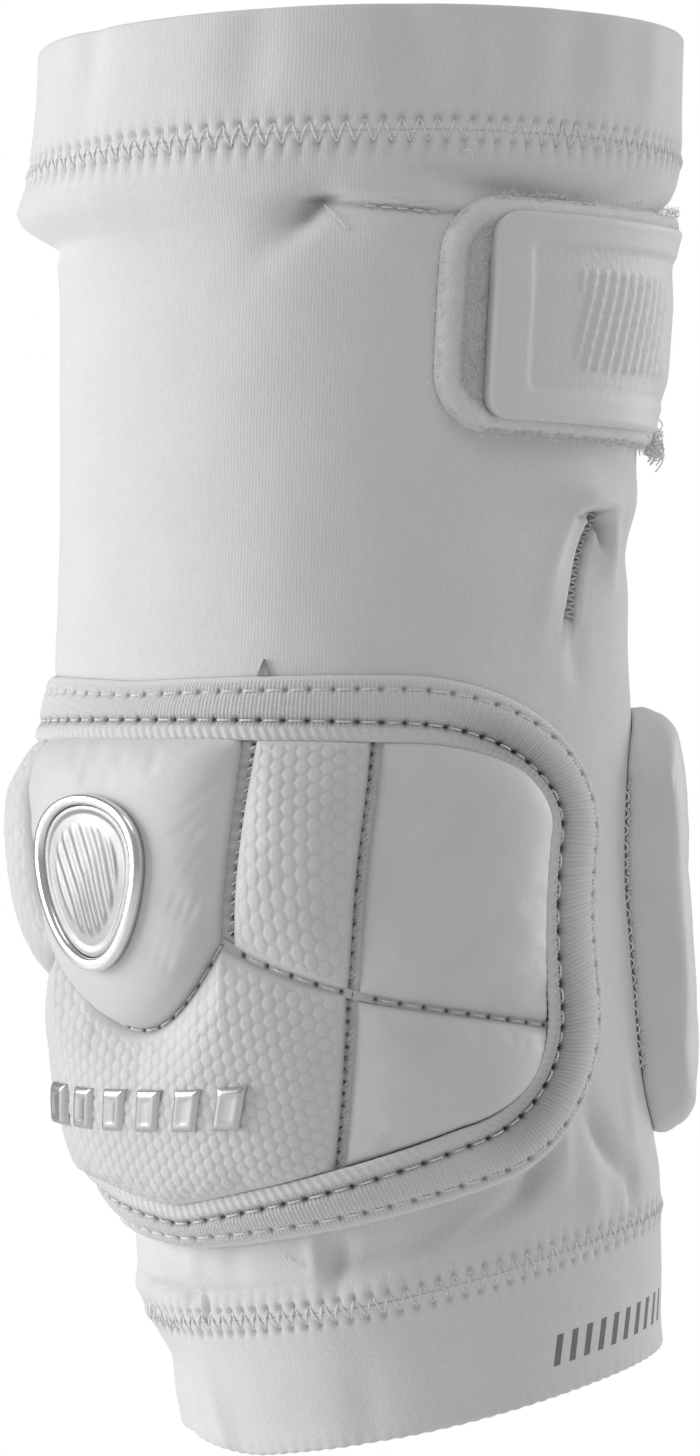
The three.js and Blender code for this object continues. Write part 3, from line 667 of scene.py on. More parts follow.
def zigzag_dent(turn, level, seam, count):
    """How much the needle holes of a zigzag pull the knit in at a place."""
    x = turn / 360 * count
    holes = 0
    for side, shift in ((1, 0.0), (-1, 0.5)):
        across = (x - shift - np.round(x - shift)) * 360 / count * PER_DEGREE
        down = level - seam - side * ZIGZAG_TALL / 2
        holes = holes + bell(np.hypot(across, 0.65 * down), 0.6)
    return holes


DART_TOP = (109.6, 68.6)
DART_FOOT = (104.2, 48.3)
DART_WIDE = (3.1, 1.7)           # half width of the sewn slit at its foot and its top


def dart_place(turn, rise):
    """Share of the dart's half width across it, and share along it."""
    share = (rise - DART_FOOT[1]) / (DART_TOP[1] - DART_FOOT[1])
    middle = lerp(DART_FOOT[0], DART_TOP[0], share)
    return turn_between(turn, middle) * PER_DEGREE / lerp(*DART_WIDE, np.clip(share, 0, 1)), share


def dart_lift(turn, rise):
    across, share = dart_place(turn, rise)
    inside = smooth((share + 0.12) / 0.22) * smooth((1.03 - share) / 0.05)
    lap = smooth((-across - 0.8) / 0.4) * bell(across + 1, 2.2)
    return inside * (0.4 * lap - 1.2 * smooth((1.2 - np.abs(across)) / 0.5))


# Painted shade in the dart's sunken slit and fading below its foot, patchy along it.
def dart_shade(turn, rise):
    across, share = dart_place(turn, rise)
    inside = smooth((share + 0.34) / 0.42) * smooth((1.02 - share) / 0.04)
    patchy_shade = 0.75 + 0.25 * rumple(turn, rise, 2.5, 31)
    return 0.55 * inside * patchy_shade * smooth((1.04 - np.abs(across)) / 0.28)


def curl_up(turn, level):
    """How far the wrist hem's edge has crept up, most at the side that faces left."""
    side = turn_between(turn, 0)
    left = smooth((2 - side) / 44) * smooth((side + 175) / 45)
    return (0.9 + 4.3 * left) * smooth((14 - LOWER_LENGTH - level) / 14)


def knit_surface(turn, level):
    """The lift and the shade of the knit, with its wrinkles and seams."""
    rise = tilted_rise(turn, level) + curl_up(turn, level)
    holes = (zigzag_dent(turn, level, BODY_TOP, TOP_ZIGZAGS)
             + zigzag_dent(turn, level, BODY_FOOT, FOOT_ZIGZAGS))
    holes = holes * (1 - 0.45 * bell(turn_between(turn, 112), 30))      # shallower holes with less painted shade beside the tab
    band = bell(level - BODY_TOP, 2.6) + bell(level - BODY_FOOT, 2.6)
    lift = folded(turn, rise, WRINKLES) + 0.10 * rumple(turn, rise, 26, 3) + 0.05 * rumple(turn, rise, 9, 4)
    lift = lift - 0.8 * holes + 0.25 * band + dart_lift(turn, rise)
    scallop = np.cos(np.radians(turn) * FOOT_ZIGZAGS) * smooth((3.0 - LOWER_LENGTH - level) / 2)
    rise, lift = rise - 0.10 * scallop, lift + 0.05 * scallop
    # painted shade in the needle holes, in the dart's slit and in the tightest creases
    return rise, lift, 0.30 * holes + dart_shade(turn, rise) + folded(turn, rise, CREASES)


# level, reach and step of the rows where the knit has small forms: seams, dart, tuck, low wrinkles
FINE_ROWS = ((BODY_FOOT, 3.3, 0.42), (BODY_TOP, 3.3, 0.42), (58.5, 12.0, 0.85), (119.0, 3.2, 0.6),
             (-62.0, 4.5, 0.85))


def levels_between(low, high, coarse=2.2):
    """Row levels from low to high, close together where the knit has small forms."""
    levels = [low]
    while levels[-1] < high:
        steps = [step for level, reach, step in FINE_ROWS if abs(levels[-1] + 0.4 - level) < reach]
        levels.append(levels[-1] + min(steps + [coarse]))
    return np.array(levels[:-1] + [high])


# %% Sew the sleeve and its two hems
turns = np.arange(ROUND) * 360 / ROUND
place_turns = np.arange(ROUND + 1) * 360 / ROUND


def deepest_dent(turn, level, reach):
    """The deepest fold within a reach along the sleeve, so that the coarse inside clears it."""
    rises = [tilted_rise(turn, level + shift) for shift in np.linspace(-reach, reach, 13)]
    return np.minimum.reduce([folded(turn, rise, WRINKLES) + dart_lift(turn, rise) for rise in rises])


def add_knit(name, outer, profile, shades, finish, nodes, reach=0.0):
    """A knitted tube from levels and lifts, outside first and then back up the inside."""
    level = np.concatenate([outer, profile[:, 0]])[:, None]
    rise, lift, shade = knit_surface(turns[None], level)
    inside = np.concatenate([np.zeros(len(outer)), np.ones(len(profile))])[:, None]
    base = np.concatenate([shades, profile[:, 1]])[:, None]
    lift = lerp(lift, np.minimum(lift, 0), inside)
    if reach:
        back = slice(len(outer), None)
        lift[back] = np.minimum(lift[back], deepest_dent(turns[None], level[back], reach))
    points = form(turns[None], rise, base + lift)
    places = np.stack(np.broadcast_arrays(place_turns[None] * PER_DEGREE, level), -1)
    # the painted shade goes on the outer face only
    tone = shade * (1 - inside)
    return add_tube(name, points, places, tone, finish=finish, slot="knit", nodes=nodes)


INNER_STEP = 9.0                 # millimetres between the rows of the inside, which hardly shows


def inner_rows(top, foot, wall):
    rows = np.arange(top, foot, -INNER_STEP)
    return [(row, -wall) for row in rows] + [(foot, -wall)]


LAP = 2.4                        # how far the sleeve runs under each hem
body_levels = levels_between(BODY_FOOT - LAP, BODY_TOP + LAP)
hidden = np.maximum(body_levels - BODY_TOP, BODY_FOOT - body_levels)
body_lifts = -0.7 * smooth(hidden / 0.8)
body_inside = np.array(inner_rows(BODY_TOP + LAP, BODY_FOOT - LAP, SLEEVE_WALL))
sleeve = add_knit("knit_sleeve", body_levels, body_inside, body_lifts, KNIT, ("sleeve_body",), INNER_STEP)

HEM_PROUD = 0.5
top_levels = levels_between(BODY_TOP - 0.1, UPPER_LENGTH - 0.9)
top_lifts = lerp(0.05, HEM_PROUD, smooth((top_levels - BODY_TOP - 1) / 3))
top_fold = np.array([
    (UPPER_LENGTH - 0.45, HEM_PROUD - 0.12), (UPPER_LENGTH - 0.1, HEM_PROUD - 0.5),
    (UPPER_LENGTH, -0.8), (UPPER_LENGTH - 0.1, -1.4), (UPPER_LENGTH - 0.5, -1.8),
    *inner_rows(UPPER_LENGTH - 1.2, BODY_TOP + 0.3, 1.9)])
top_hem = add_knit("top_hem", top_levels, top_fold, top_lifts, KNIT, ("upper_cuff",))

foot_levels = levels_between(-LOWER_LENGTH + 0.9, BODY_FOOT + 0.1)
foot_lifts = 0.1 * smooth((foot_levels - BODY_FOOT + 4) / 3)
foot_fold = np.array([
    (BODY_FOOT - 0.3, -1.8), (BODY_FOOT - 9, -1.8), (-LOWER_LENGTH + 9, -1.8),
    (-LOWER_LENGTH + 0.5, -1.7), (-LOWER_LENGTH + 0.1, -1.4), (-LOWER_LENGTH, -0.9),
    (-LOWER_LENGTH + 0.1, -0.4), (-LOWER_LENGTH + 0.45, -0.1)])
wrist_hem = add_knit(
    "wrist_hem", foot_levels, foot_fold, foot_lifts, WRIST_KNIT, ("lower_cuff",))

# %% [markdown]
# ## The elbow cap, piece by piece
# The cap is foam under leather, cut in eight panels: a smooth tongue, two strips and a wide foot
# with embossed hexagons, and four smooth flank panels. They meet in seams whose lines come from a
# few corners, as a pattern cutter would draw them. Each panel is a patch between four such lines.

# %% The seams of the cap
CAP_RISE = 36.8
CAP_DROP = 56
CAP_HALF_TURN = 113
BINDING_WIDTH = 12
SEAM_HEIGHT = 4.5
TONGUE_HALF_TURN = 30
TONGUE_DROP = 16
SEAT_GAP = 0.5
# shares of the half turn and of the rise or drop, tuck and drop inwards, round corner or line
EDGE = [
    (0, 0.945, 0, 0.8, False), (0.531, 1, 0, 0.95, False), (1, 0.22, 1.5, -0.14, True),
    (0.961, -0.357, 1.5, 0.12, False), (0.607, -0.925, 0.33, -0.97, True), (0, -1, 0, -0.67, False),
]
SIDE_SEAM_TOP, UPPER_CORNER, CROSS_SEAM_END, LOWER_CORNER, SIDE_SEAM_FOOT = 0.905, 1.5, 3.16, 3.5, 4.395
OUTER_SHARE = 0.24               # part of the lower panel's top that lies beside the tongue


def edge_corners(inset):
    return [(turn * CAP_HALF_TURN - tuck * inset / PER_DEGREE,
             rise * (CAP_DROP if rise < 0 else CAP_RISE) - drop * inset, corner)
            for turn, rise, tuck, drop, corner in EDGE]


def edge_places(corners, places):
    """Turn and rise at places along an edge of the cap, 0 the top middle and 5 the foot."""
    places = np.atleast_1d(np.asarray(places, float))
    turn, rise = np.empty(places.shape), np.empty(places.shape)
    for k, ((t0, r0, _), (t1, r1, corner)) in enumerate(zip(corners, corners[1:])):
        here = (places >= k) & (places <= k + 1)
        share = places[here] - k
        early, late = share, share
        if corner:
            early, late = np.sin(share * np.pi / 2), 1 - np.cos(share * np.pi / 2)
        if t1 < t0:
            early, late = late, early
        turn[here] = lerp(t0, t1, early)
        rise[here] = lerp(r0, r1, late)
    return np.stack([turn, rise], -1)


OUTER_EDGE, INNER_EDGE = edge_corners(0), edge_corners(BINDING_WIDTH)


def seam(start, end, bow=0.0):
    """A bowed line between two corners, as a function of its share."""
    def curve(share):
        share = np.asarray(share, float)[..., None]
        return lerp(np.array(start), np.array(end), share) + 4 * bow * share * (1 - share) * [1, 0]
    return curve


def inner_corner(place):
    return tuple(edge_places(INNER_EDGE, place)[0])


def edge_run(start, end):
    return lambda share: edge_places(INNER_EDGE, lerp(start, end, np.asarray(share, float)))


def mirrored(curve):
    return lambda share: curve(share) * [-1, 1]


TONGUE_CORNER = (0.8 * TONGUE_HALF_TURN, -0.24 * TONGUE_DROP)
CROSSING = (0.421 * CAP_HALF_TURN, -0.225 * CAP_DROP)
TONGUE_TOP = (TONGUE_HALF_TURN, inner_corner(TONGUE_HALF_TURN / INNER_EDGE[1][0])[1])
side_seam_upper = seam(CROSSING, inner_corner(SIDE_SEAM_TOP), 1)
side_seam_lower = seam(inner_corner(SIDE_SEAM_FOOT), CROSSING, 0.5)
tongue_side = seam(TONGUE_CORNER, TONGUE_TOP, 0.8)
cross_seam_inner = seam(TONGUE_CORNER, CROSSING)
cross_seam_outer = seam(CROSSING, inner_corner(CROSS_SEAM_END))
tongue_head = seam((-TONGUE_TOP[0], TONGUE_TOP[1]), TONGUE_TOP)


def tongue_foot(share):
    across = 2 * np.asarray(share, float) - 1
    dip = np.cos(across * np.pi / 2)
    depth = TONGUE_DROP + TONGUE_CORNER[1]
    return np.stack([across * TONGUE_CORNER[0], TONGUE_CORNER[1] - depth * dip], -1)


def lower_top(share):
    share = np.asarray(share, float)
    outer = cross_seam_inner((np.abs(2 * share - 1) / 2 - 0.5 + OUTER_SHARE) / OUTER_SHARE)
    outer = outer * np.stack([np.sign(share - 0.5), np.ones(share.shape)], -1)
    middle = tongue_foot(np.clip((share - OUTER_SHARE) / (1 - 2 * OUTER_SHARE), 0, 1))
    beside = (np.abs(share - 0.5) > 0.5 - OUTER_SHARE)[..., None]
    return np.where(beside, outer, middle)


def lower_foot(share):
    share = np.asarray(share, float)
    half = edge_places(INNER_EDGE, lerp(5, SIDE_SEAM_FOOT, np.abs(2 * share - 1)))
    return half * np.stack([np.where(share < 0.5, -1, 1), np.ones(share.shape)], -1)


def patch(foot, head, start, end, u, v):
    """Turn and rise of a patch between four lines, at shares across and up."""
    grid_u, grid_v = np.meshgrid(u, v)
    x, y = grid_u[..., None], grid_v[..., None]
    corners = lerp(lerp(foot(0.0), foot(1.0), x), lerp(head(0.0), head(1.0), x), y)
    points = lerp(foot(u)[None], head(u)[None], y) + lerp(start(v)[:, None], end(v)[:, None], x) - corners
    return points[..., 0], points[..., 1]


# %% [markdown]
# ## Foam and leather
# Foam swells the leather between its seams, and the spare leather puckers along them. A formula
# gives an even mound, so each panel is also simulated: a closed cushion, sewn down at its edge,
# that a little pressure fills. What the cloth did to the coarse cushion is then laid over the fine
# panel as a smooth shift, so that hexagons and rolled edges stay sharp.

# %% Fill the panels by cloth simulation
COARSE = (30, 26)                # columns and rows of the simulated cushions
CLOTH_SCALE = 0.01               # Blender units for a millimetre, since cloth is stiff when tiny
CLOTH_FRAMES = 20
MOST_SHIFT = 0.9                 # millimetres that a point may move
# foot, head, start and end lines, puff, and how late it falls across, at the foot and at the head
PANELS = {
    "tongue": (tongue_foot, tongue_head, mirrored(tongue_side), tongue_side, 5.2, 6, 6, 6),
    "lower_grip": (lower_foot, lower_top, mirrored(side_seam_lower), side_seam_lower, 5, 4, 7, 3),
    "grip_right": (cross_seam_inner, seam(TONGUE_TOP, inner_corner(SIDE_SEAM_TOP)), tongue_side,
                   side_seam_upper, 4.4, 3, 3, 2),
    "side_upper_right": (cross_seam_outer, edge_run(SIDE_SEAM_TOP, UPPER_CORNER), side_seam_upper,
                         edge_run(CROSS_SEAM_END, UPPER_CORNER), 3.4, 3, 3, 3),
    "side_lower_right": (edge_run(SIDE_SEAM_FOOT, LOWER_CORNER), cross_seam_outer, side_seam_lower,
                         edge_run(LOWER_CORNER, CROSS_SEAM_END), 3.4, 3, 3, 3),
}


def puffed(u, v, puff, across, foot, head):
    grid_u, grid_v = np.meshgrid(u, v)
    up = np.where(grid_v < 0.5, foot, head)
    return SEAM_HEIGHT + puff * (1 - np.abs(2 * grid_u - 1) ** across) * (1 - np.abs(2 * grid_v - 1) ** up)


def fill_cushions(tops, unders):
    """Simulates closed cushions and returns how far each point of their tops moved."""
    rows, columns, _ = tops[0].shape
    rim, size = rim_of(rows, columns), rows * columns
    one = closed_faces(rows, columns)
    points = np.concatenate([np.concatenate([a.reshape(-1, 3), b.reshape(-1, 3)])
                             for a, b in zip(tops, unders)]) * CLOTH_SCALE
    every = (one[None] + 2 * size * np.arange(len(tops))[:, None, None]).reshape(-1, 4)
    mesh = bpy.data.meshes.new("cushions")
    mesh.from_pydata(points.tolist(), [], every.tolist())
    cushions = bpy.data.objects.new("cushions", mesh)
    scene.collection.objects.link(cushions)
    sewn = np.concatenate([rim, np.arange(size, 2 * size)])
    held = (sewn[None] + 2 * size * np.arange(len(tops))[:, None]).ravel()
    cushions.vertex_groups.new(name="sewn").add(held.tolist(), 1.0, "REPLACE")
    cloth = cushions.modifiers.new("cloth", "CLOTH")
    cloth.settings.quality = 6
    cloth.settings.mass = 0.3
    cloth.settings.tension_stiffness = 25
    cloth.settings.compression_stiffness = 25
    cloth.settings.bending_stiffness = 0.25
    cloth.settings.use_pressure = True
    cloth.settings.uniform_pressure_force = 4
    cloth.settings.shrink_min = -0.02
    cloth.settings.vertex_group_mass = "sewn"
    cloth.settings.effector_weights.gravity = 0
    for step in range(1, CLOTH_FRAMES + 1):
        scene.frame_set(step)
    result = cushions.evaluated_get(bpy.context.evaluated_depsgraph_get()).data
    moved = np.empty(len(points) * 3)
    result.vertices.foreach_get("co", moved)
    shift = (moved.reshape(-1, 3) - points) / CLOTH_SCALE
    length = np.linalg.norm(shift, axis=-1, keepdims=True) + 1e-9
    shift *= np.tanh(length / MOST_SHIFT) * MOST_SHIFT / length
    bpy.data.objects.remove(cushions)
    scene.frame_set(1)
    print("cushions filled: mean shift", round(float(length.mean()), 2), "mm")
    return [shift.reshape(len(tops), 2, rows, columns, 3)[k, 0] for k in range(len(tops))]


def spline_weights(count, shares):
    """Weights that read a row of even samples at any shares, by smooth cubic pieces."""
    spot = np.clip(np.asarray(shares), 0, 1) * (count - 1)
    base = np.minimum(spot.astype(int), count - 2)
    f = spot - base
    cubic = [(-f + 2 * f**2 - f**3) / 2, (2 - 5 * f**2 + 3 * f**3) / 2,
             (f + 4 * f**2 - 3 * f**3) / 2, (-f**2 + f**3) / 2]
    weights = np.zeros((len(spot), count))
    for k, part in enumerate(cubic):
        np.add.at(weights, (np.arange(len(spot)), np.clip(base + k - 1, 0, count - 1)), part)
    return weights


def soften(shift, u, v):
    """The shift of a coarse cushion, read at the fine panel's shares."""
    rows, columns, _ = shift.shape
    return np.einsum("vr,rcx,uc->vux", spline_weights(rows, v), shift, spline_weights(columns, u))


SIDE_PAD = dict(turn=(129, 190), rise=-11.5, height=89, corner=13, edge=7.5, thick=11.5)


def rounded_places(turn, rise, height, corner, both, u, v):
    """Turn and rise of a plate with rounded corners at its first end or at both."""
    start, end = turn
    u, v = np.meshgrid(u, v)
    span = (end - start) * PER_DEGREE
    share = (1 - np.cos(np.pi * u)) / 2 if both else 1 - np.cos(np.pi * u / 2)
    to_end = np.minimum(share, 1 - share) * span if both else share * span
    inset = np.maximum(0, corner - to_end)
    half = height / 2 - corner + np.sqrt(corner**2 - inset**2)
    return lerp(start, end, share), rise + half * (2 * v - 1)


def rounded_distance(turn, rise, start, middle, height, corner, inset=(0, 0)):
    """Millimetres in from the edge of a plate with two rounded corners at its start."""
    x = (turn - start) * PER_DEGREE - inset[0]
    half = height / 2 - inset[1]
    y = np.abs(rise - middle)
    from_corner = corner - np.hypot(np.maximum(corner - x, 0), np.maximum(y - half + corner, 0))
    return np.where((x < corner) & (y > half - corner), from_corner, np.minimum(x, half - y))


def side_pad_shape(u, v):
    turn, rise = rounded_places(SIDE_PAD["turn"], SIDE_PAD["rise"], SIDE_PAD["height"],
                                SIDE_PAD["corner"], True, u, v)
    grid_u, grid_v = np.meshgrid(u, v)
    full = (1 - np.abs(2 * grid_u - 1) ** 4) * (1 - np.abs(2 * grid_v - 1) ** 4)
    return turn, rise, lerp(SIDE_PAD["edge"], SIDE_PAD["thick"], full)


coarse_u, coarse_v = np.linspace(0, 1, COARSE[0]), np.linspace(0, 1, COARSE[1])
coarse = {}
for name, (foot, head, start, end, *puff) in PANELS.items():
    coarse[name] = (*patch(foot, head, start, end, coarse_u, coarse_v), puffed(coarse_u, coarse_v, *puff))
coarse["side_pad"] = side_pad_shape(coarse_u, coarse_v)
tops = [form(turn, rise, lift) for turn, rise, lift in coarse.values()]
unders = [form(turn, rise, SEAT_GAP) for turn, rise, _ in coarse.values()]
shifts = dict(zip(coarse, fill_cushions(tops, unders)))

# %% [markdown]
# ## Leather
# The panels are coated leather: a fine grain, a low even gloss and seams slightly darkened by
# painted shade. The strips beside the tongue and the wide foot carry hexagons pressed in with a hot
# die, with painted shade in their lines. They are real dents here, because a bump alone looks flat where
# the light grazes it.

# %% The finishes for leather
def leather_finish(name, roughness=0.52, tone=0.74, grain=0.42, depth=0.035):
    leather = Finish(name, roughness=roughness, sheen=0.08, specular=0.4)
    cells = leather.node("ShaderNodeTexVoronoi", {"feature": "SMOOTH_F1"}, {
        "Vector": leather.spot(), "Scale": 1 / (grain * MM)})
    fine = leather.grain(0.18, 3.0)
    dents = leather.grain(9.0, 1.0)
    leather.colour(tone, 0.10, leather.shade() + dents.step(0.4, 0.75) * 0.04 + cells * 0.03)
    leather.feed("Roughness", roughness + fine * 0.16 - 0.08 + leather.shade() * 0.3)
    return leather.bump(cells * 0.9 + fine * 0.5 + dents * 1.5, depth)


LEATHER = leather_finish("smooth leather")
GRIP = leather_finish("pressed leather", roughness=0.6, grain=0.36, depth=0.05)

# %% Cut the panels
HEX_SIZE = 2.65                  # across the flats
HEX_DEPTH = 0.27
ROLL = 2.0                       # radius of the leather's roll into a seam
CHANNEL = 2.1                    # width of the channel beside the tongue
SEAM_INSET = 0.22
WIDE_INSET = 0.65                # at the side seams, where a strip of cloth shows
PANEL_SHIFT = 0.6                # share of the simulated shift that the leather takes
HEX_STRETCH = 1.13               # the cap is wider than the elbow's plain radius


def hexagons(x, y, size):
    """Distance in from the nearest side of a hexagon, in a honeycomb with flat tops."""
    wide = size * math.sqrt(3)
    best = None
    for shift in (0, 0.5):
        dx = (x / wide - shift - np.round(x / wide - shift)) * wide
        dy = (y / size - shift - np.round(y / size - shift)) * size
        out = np.maximum(np.abs(dy), np.abs(dx) * math.cos(math.radians(30)) + np.abs(dy) / 2)
        best = out if best is None else np.minimum(best, out)
    return size / 2 - best


def border_distance(turn, rise):
    """Millimetres from the nearest edge of a grid, measured along its rows and columns."""
    x, y = turn * PER_DEGREE * 1.1, rise
    along_row = np.hypot(np.diff(x, axis=1), np.diff(y, axis=1))
    along_column = np.hypot(np.diff(x, axis=0), np.diff(y, axis=0))
    left = np.pad(np.cumsum(along_row, 1), ((0, 0), (1, 0)))
    low = np.pad(np.cumsum(along_column, 0), ((1, 0), (0, 0)))
    return np.minimum.reduce([left, left[:, -1:] - left, low, low[-1:] - low])


def roll_down(distance, radius):
    """How far a rolled edge has dropped at a distance from it."""
    inside = np.clip(1 - distance / radius, 0, 1)
    return radius * (1 - np.sqrt(1 - inside**2 * 0.98))


def inset_patch(foot, head, start, end, u, v, insets):
    """The patch drawn in by some millimetres at its start, end, foot and head."""
    turn, rise = patch(foot, head, start, end, u, v)
    across = np.hypot(np.ptp(turn, axis=1) * PER_DEGREE, np.ptp(rise, axis=1)).min()
    up = np.hypot(np.ptp(turn, axis=0) * PER_DEGREE, np.ptp(rise, axis=0)).min()
    first, last, low, high = insets
    u = lerp(first / across, 1 - last / across, u)
    v = lerp(low / up, 1 - high / up, v)
    return (*patch(foot, head, start, end, u, v), u, v)


def add_panel(name, key, size, insets, finish, slot, node, pressed=False, mirror=False):
    """One panel of the cap: its patch, puff, simulated shift, rolled edge and hexagons."""
    foot, head, start, end, *puff = PANELS[key]
    turn, rise, u, v = inset_patch(
        foot, head, start, end, spread(size[0], 0.25), spread(size[1], 0.25), insets)
    distance = border_distance(turn, rise)
    over = puffed(u, v, *puff) - roll_down(distance, ROLL)
    over = over + 0.12 * rumple(turn, rise, 15, len(name)) * smooth(distance / 5)
    # painted shade where the leather rolls down into its seams
    shade = 0.16 * bell(distance, 0.5)
    if pressed:
        inward = hexagons(turn * PER_DEGREE * HEX_STRETCH, rise, HEX_SIZE)
        near = smooth((distance - 0.9) / 0.8)
        pillow = 1 - (1 - np.clip(inward / 0.85, 0, 1)) ** 2
        over = over + near * HEX_DEPTH * (pillow - 0.8)
        # painted shade in the hexagons' pressed lines
        shade = shade + near * 0.09 * bell(inward, 0.22)
    points = form(turn, rise, over)
    shift = PANEL_SHIFT * soften(shifts[key], u, v) * smooth(distance / 3)[..., None]
    over = over + np.sum(shift * unit(points - form(turn, rise, 0)), -1)
    if mirror:
        turn, rise, over, shade = -turn[:, ::-1], rise[:, ::-1], over[:, ::-1], shade[:, ::-1]
    piece = add_pad(name, turn, rise, over, shade, seat=SEAT_GAP, finish=finish, slot=slot, nodes=(node,))


TIGHT = (SEAM_INSET,) * 4
add_panel("tongue_cover", "tongue", (110, 90), TIGHT, LEATHER, "leather", "tongue_panel")
add_panel("lower_grip_cover", "lower_grip", (330, 132), (WIDE_INSET, WIDE_INSET, *TIGHT[2:]),
          GRIP, "grip", "lower_grip_panel", True)
for side, mirror in (("right", False), ("left", True)):
    add_panel(f"grip_cover_{side}", "grip_right", (96, 132), (CHANNEL, WIDE_INSET, *TIGHT[2:]),
              GRIP, "grip", f"grip_panel_{side}", True, mirror)
    for part in ("upper", "lower"):
        add_panel(f"side_cover_{part}_{side}", f"side_{part}_right", (72, 60), (WIDE_INSET, *TIGHT[1:]),
                  LEATHER, "leather", f"side_panel_{part}_{side}", False, mirror)

# %% The plain pad on the inner side of the elbow
PAD_WALL = 4.2                   # radius of the turn from the pad's wall to its face
PAD_SHIFT = 0.25                 # share of the simulated shift, since this pad is stiff
pad_u, pad_v = spread(90, 0.2), spread(104, 0.5)
turn, rise, over = side_pad_shape(pad_u, pad_v)
distance = border_distance(turn, rise)
over = over - 0.8 * roll_down(distance, PAD_WALL) + 0.15 * rumple(turn, rise, 18, 8) * smooth(distance / 6)
outward = unit(form(turn, rise, over) - form(turn, rise, 0))
shift = PAD_SHIFT * soften(shifts["side_pad"], pad_u, pad_v)
over = over + np.sum(shift * outward, -1) * smooth(distance / 4)
inner_pad = add_pad("inner_pad", turn, rise, over, 0.0, seat=0.2, walls=(0.2, 0.45, 0.7, 0.88),
                    bulge=0.015, finish=LEATHER, slot="leather", nodes=("side_pad",))

# %% [markdown]
# ## The ribbed binding
# A ribbed tape frames the cap: a rolled lip outside, a ribbed middle between two rows of stitches,
# and a thin selvage that laps over the panels. Its two edges are resampled at even steps round the
# cap, so that the grid's columns are spaced alike everywhere, between three and four to a rib.

# %% The tape's route and its cross-section
TAPE_COLUMNS = 2080
RIB = 0.8
LAP_IN = 0.9                     # how far the selvage lies over the panels
LIP = 1.5
OUTER_ROW = 2.7                  # from the outer edge to the outer stitches
INNER_ROW = 3.5                  # from the selvage's edge to the inner stitches
STITCH_PITCH = 4.6


def whole_edge(corners):
    right = edge_places(corners, np.linspace(0, 5, 1501))
    return np.concatenate([right, right[-2:0:-1] * [-1, 1]])


def read_line(spots, marks, line):
    """Turn and rise at some running lengths of a line."""
    return np.stack([np.interp(spots, marks, line[:, k]) for k in range(2)], -1)


def resampled(loop, marks, count):
    """A closed line of turns and rises, read at even steps of its running length."""
    steps = np.linspace(0, marks[-1], count, endpoint=False)
    closed = np.concatenate([loop, loop[:1]])
    line = read_line(steps, marks, closed)
    reach = round(2.5 / marks[-1] * count)
    window = bell(np.arange(-3 * reach, 3 * reach + 1), reach)
    window /= window.sum()
    return sum(w * np.roll(line, k - 3 * reach, axis=0) for k, w in enumerate(window))


outer_loop, inner_loop = whole_edge(OUTER_EDGE), whole_edge(INNER_EDGE)
middle_loop = form(*((outer_loop + inner_loop) / 2).T, SEAM_HEIGHT)
marks = running_length(np.concatenate([middle_loop, middle_loop[:1]]))
TAPE_LENGTH = marks[-1]
tape_outer = resampled(outer_loop, marks, TAPE_COLUMNS)
tape_inner = resampled(inner_loop, marks, TAPE_COLUMNS)
tape_width = np.linalg.norm((tape_inner - tape_outer) * [PER_DEGREE, 1], axis=-1) + LAP_IN
ribs = round(TAPE_LENGTH / RIB)
stitch_count = round(TAPE_LENGTH / STITCH_PITCH)
tape_marks = np.arange(TAPE_COLUMNS) / TAPE_COLUMNS
print("binding:", round(TAPE_LENGTH), "mm long,", ribs, "ribs,", stitch_count, "stitches a row")


def tape_places(distance):
    """Turn and rise at distances from the tape's outer edge, for every column."""
    share = distance / (tape_width - LAP_IN)
    return lerp(tape_outer, tape_inner, share[..., None])


def tape_lift(distance, marks, width, rise):
    """Height and shade of the tape at a distance from its outer edge."""
    inward = width - distance
    share = np.clip(distance / (width - LAP_IN), 0, 1)
    foot = smooth((-rise - 5) / 40)
    lift = lerp(1.1 + 2.0 * foot, SEAM_HEIGHT + 0.2 + 1.1 * foot, share)
    lift = lift + (0.5 + 0.9 * foot) * np.sin(np.pi * share) ** 0.8
    lip = np.clip(1 - distance / LIP, 0, 1)
    lift = lift - (0.9 + 0.9 * foot) * (1 - np.sqrt(1 - lip**2))
    ribbed = smooth((distance - 0.5) / 0.8) * smooth((inward - 2.2) / 0.6)
    lift = lift + 0.17 * ribbed * np.cos(2 * np.pi * marks * ribs)
    outer_row, inner_row = distance - OUTER_ROW, inward - INNER_ROW
    hole = (marks * stitch_count - np.round(marks * stitch_count)) * TAPE_LENGTH / stitch_count
    holes = bell(np.hypot(hole, outer_row), 0.55) + bell(np.hypot(hole, inner_row), 0.6)
    lift = lift - 0.35 * bell(outer_row, 0.5) - 0.6 * bell(inner_row, 0.65) - 0.5 * holes
    selvage = smooth((INNER_ROW - 0.9 - inward) / 0.6)
    lift = lift + 0.25 * selvage - 0.5 * np.clip(1 - inward / 0.6, 0, 1) ** 2
    lift = lift + selvage * 0.14 * np.cos(2 * np.pi * marks * TAPE_LENGTH / 1.9 + 1.6 * inward)
    # painted shade in the needle holes, along the crease at the inner row and between the ribs
    shade = 0.60 * holes + 0.20 * bell(inner_row + 0.2, 0.9) + 0.22 * bell(inner_row, 0.3)
    shade = shade + 0.05 * ribbed * (0.5 - 0.5 * np.cos(2 * np.pi * marks * ribs))
    return lift, shade


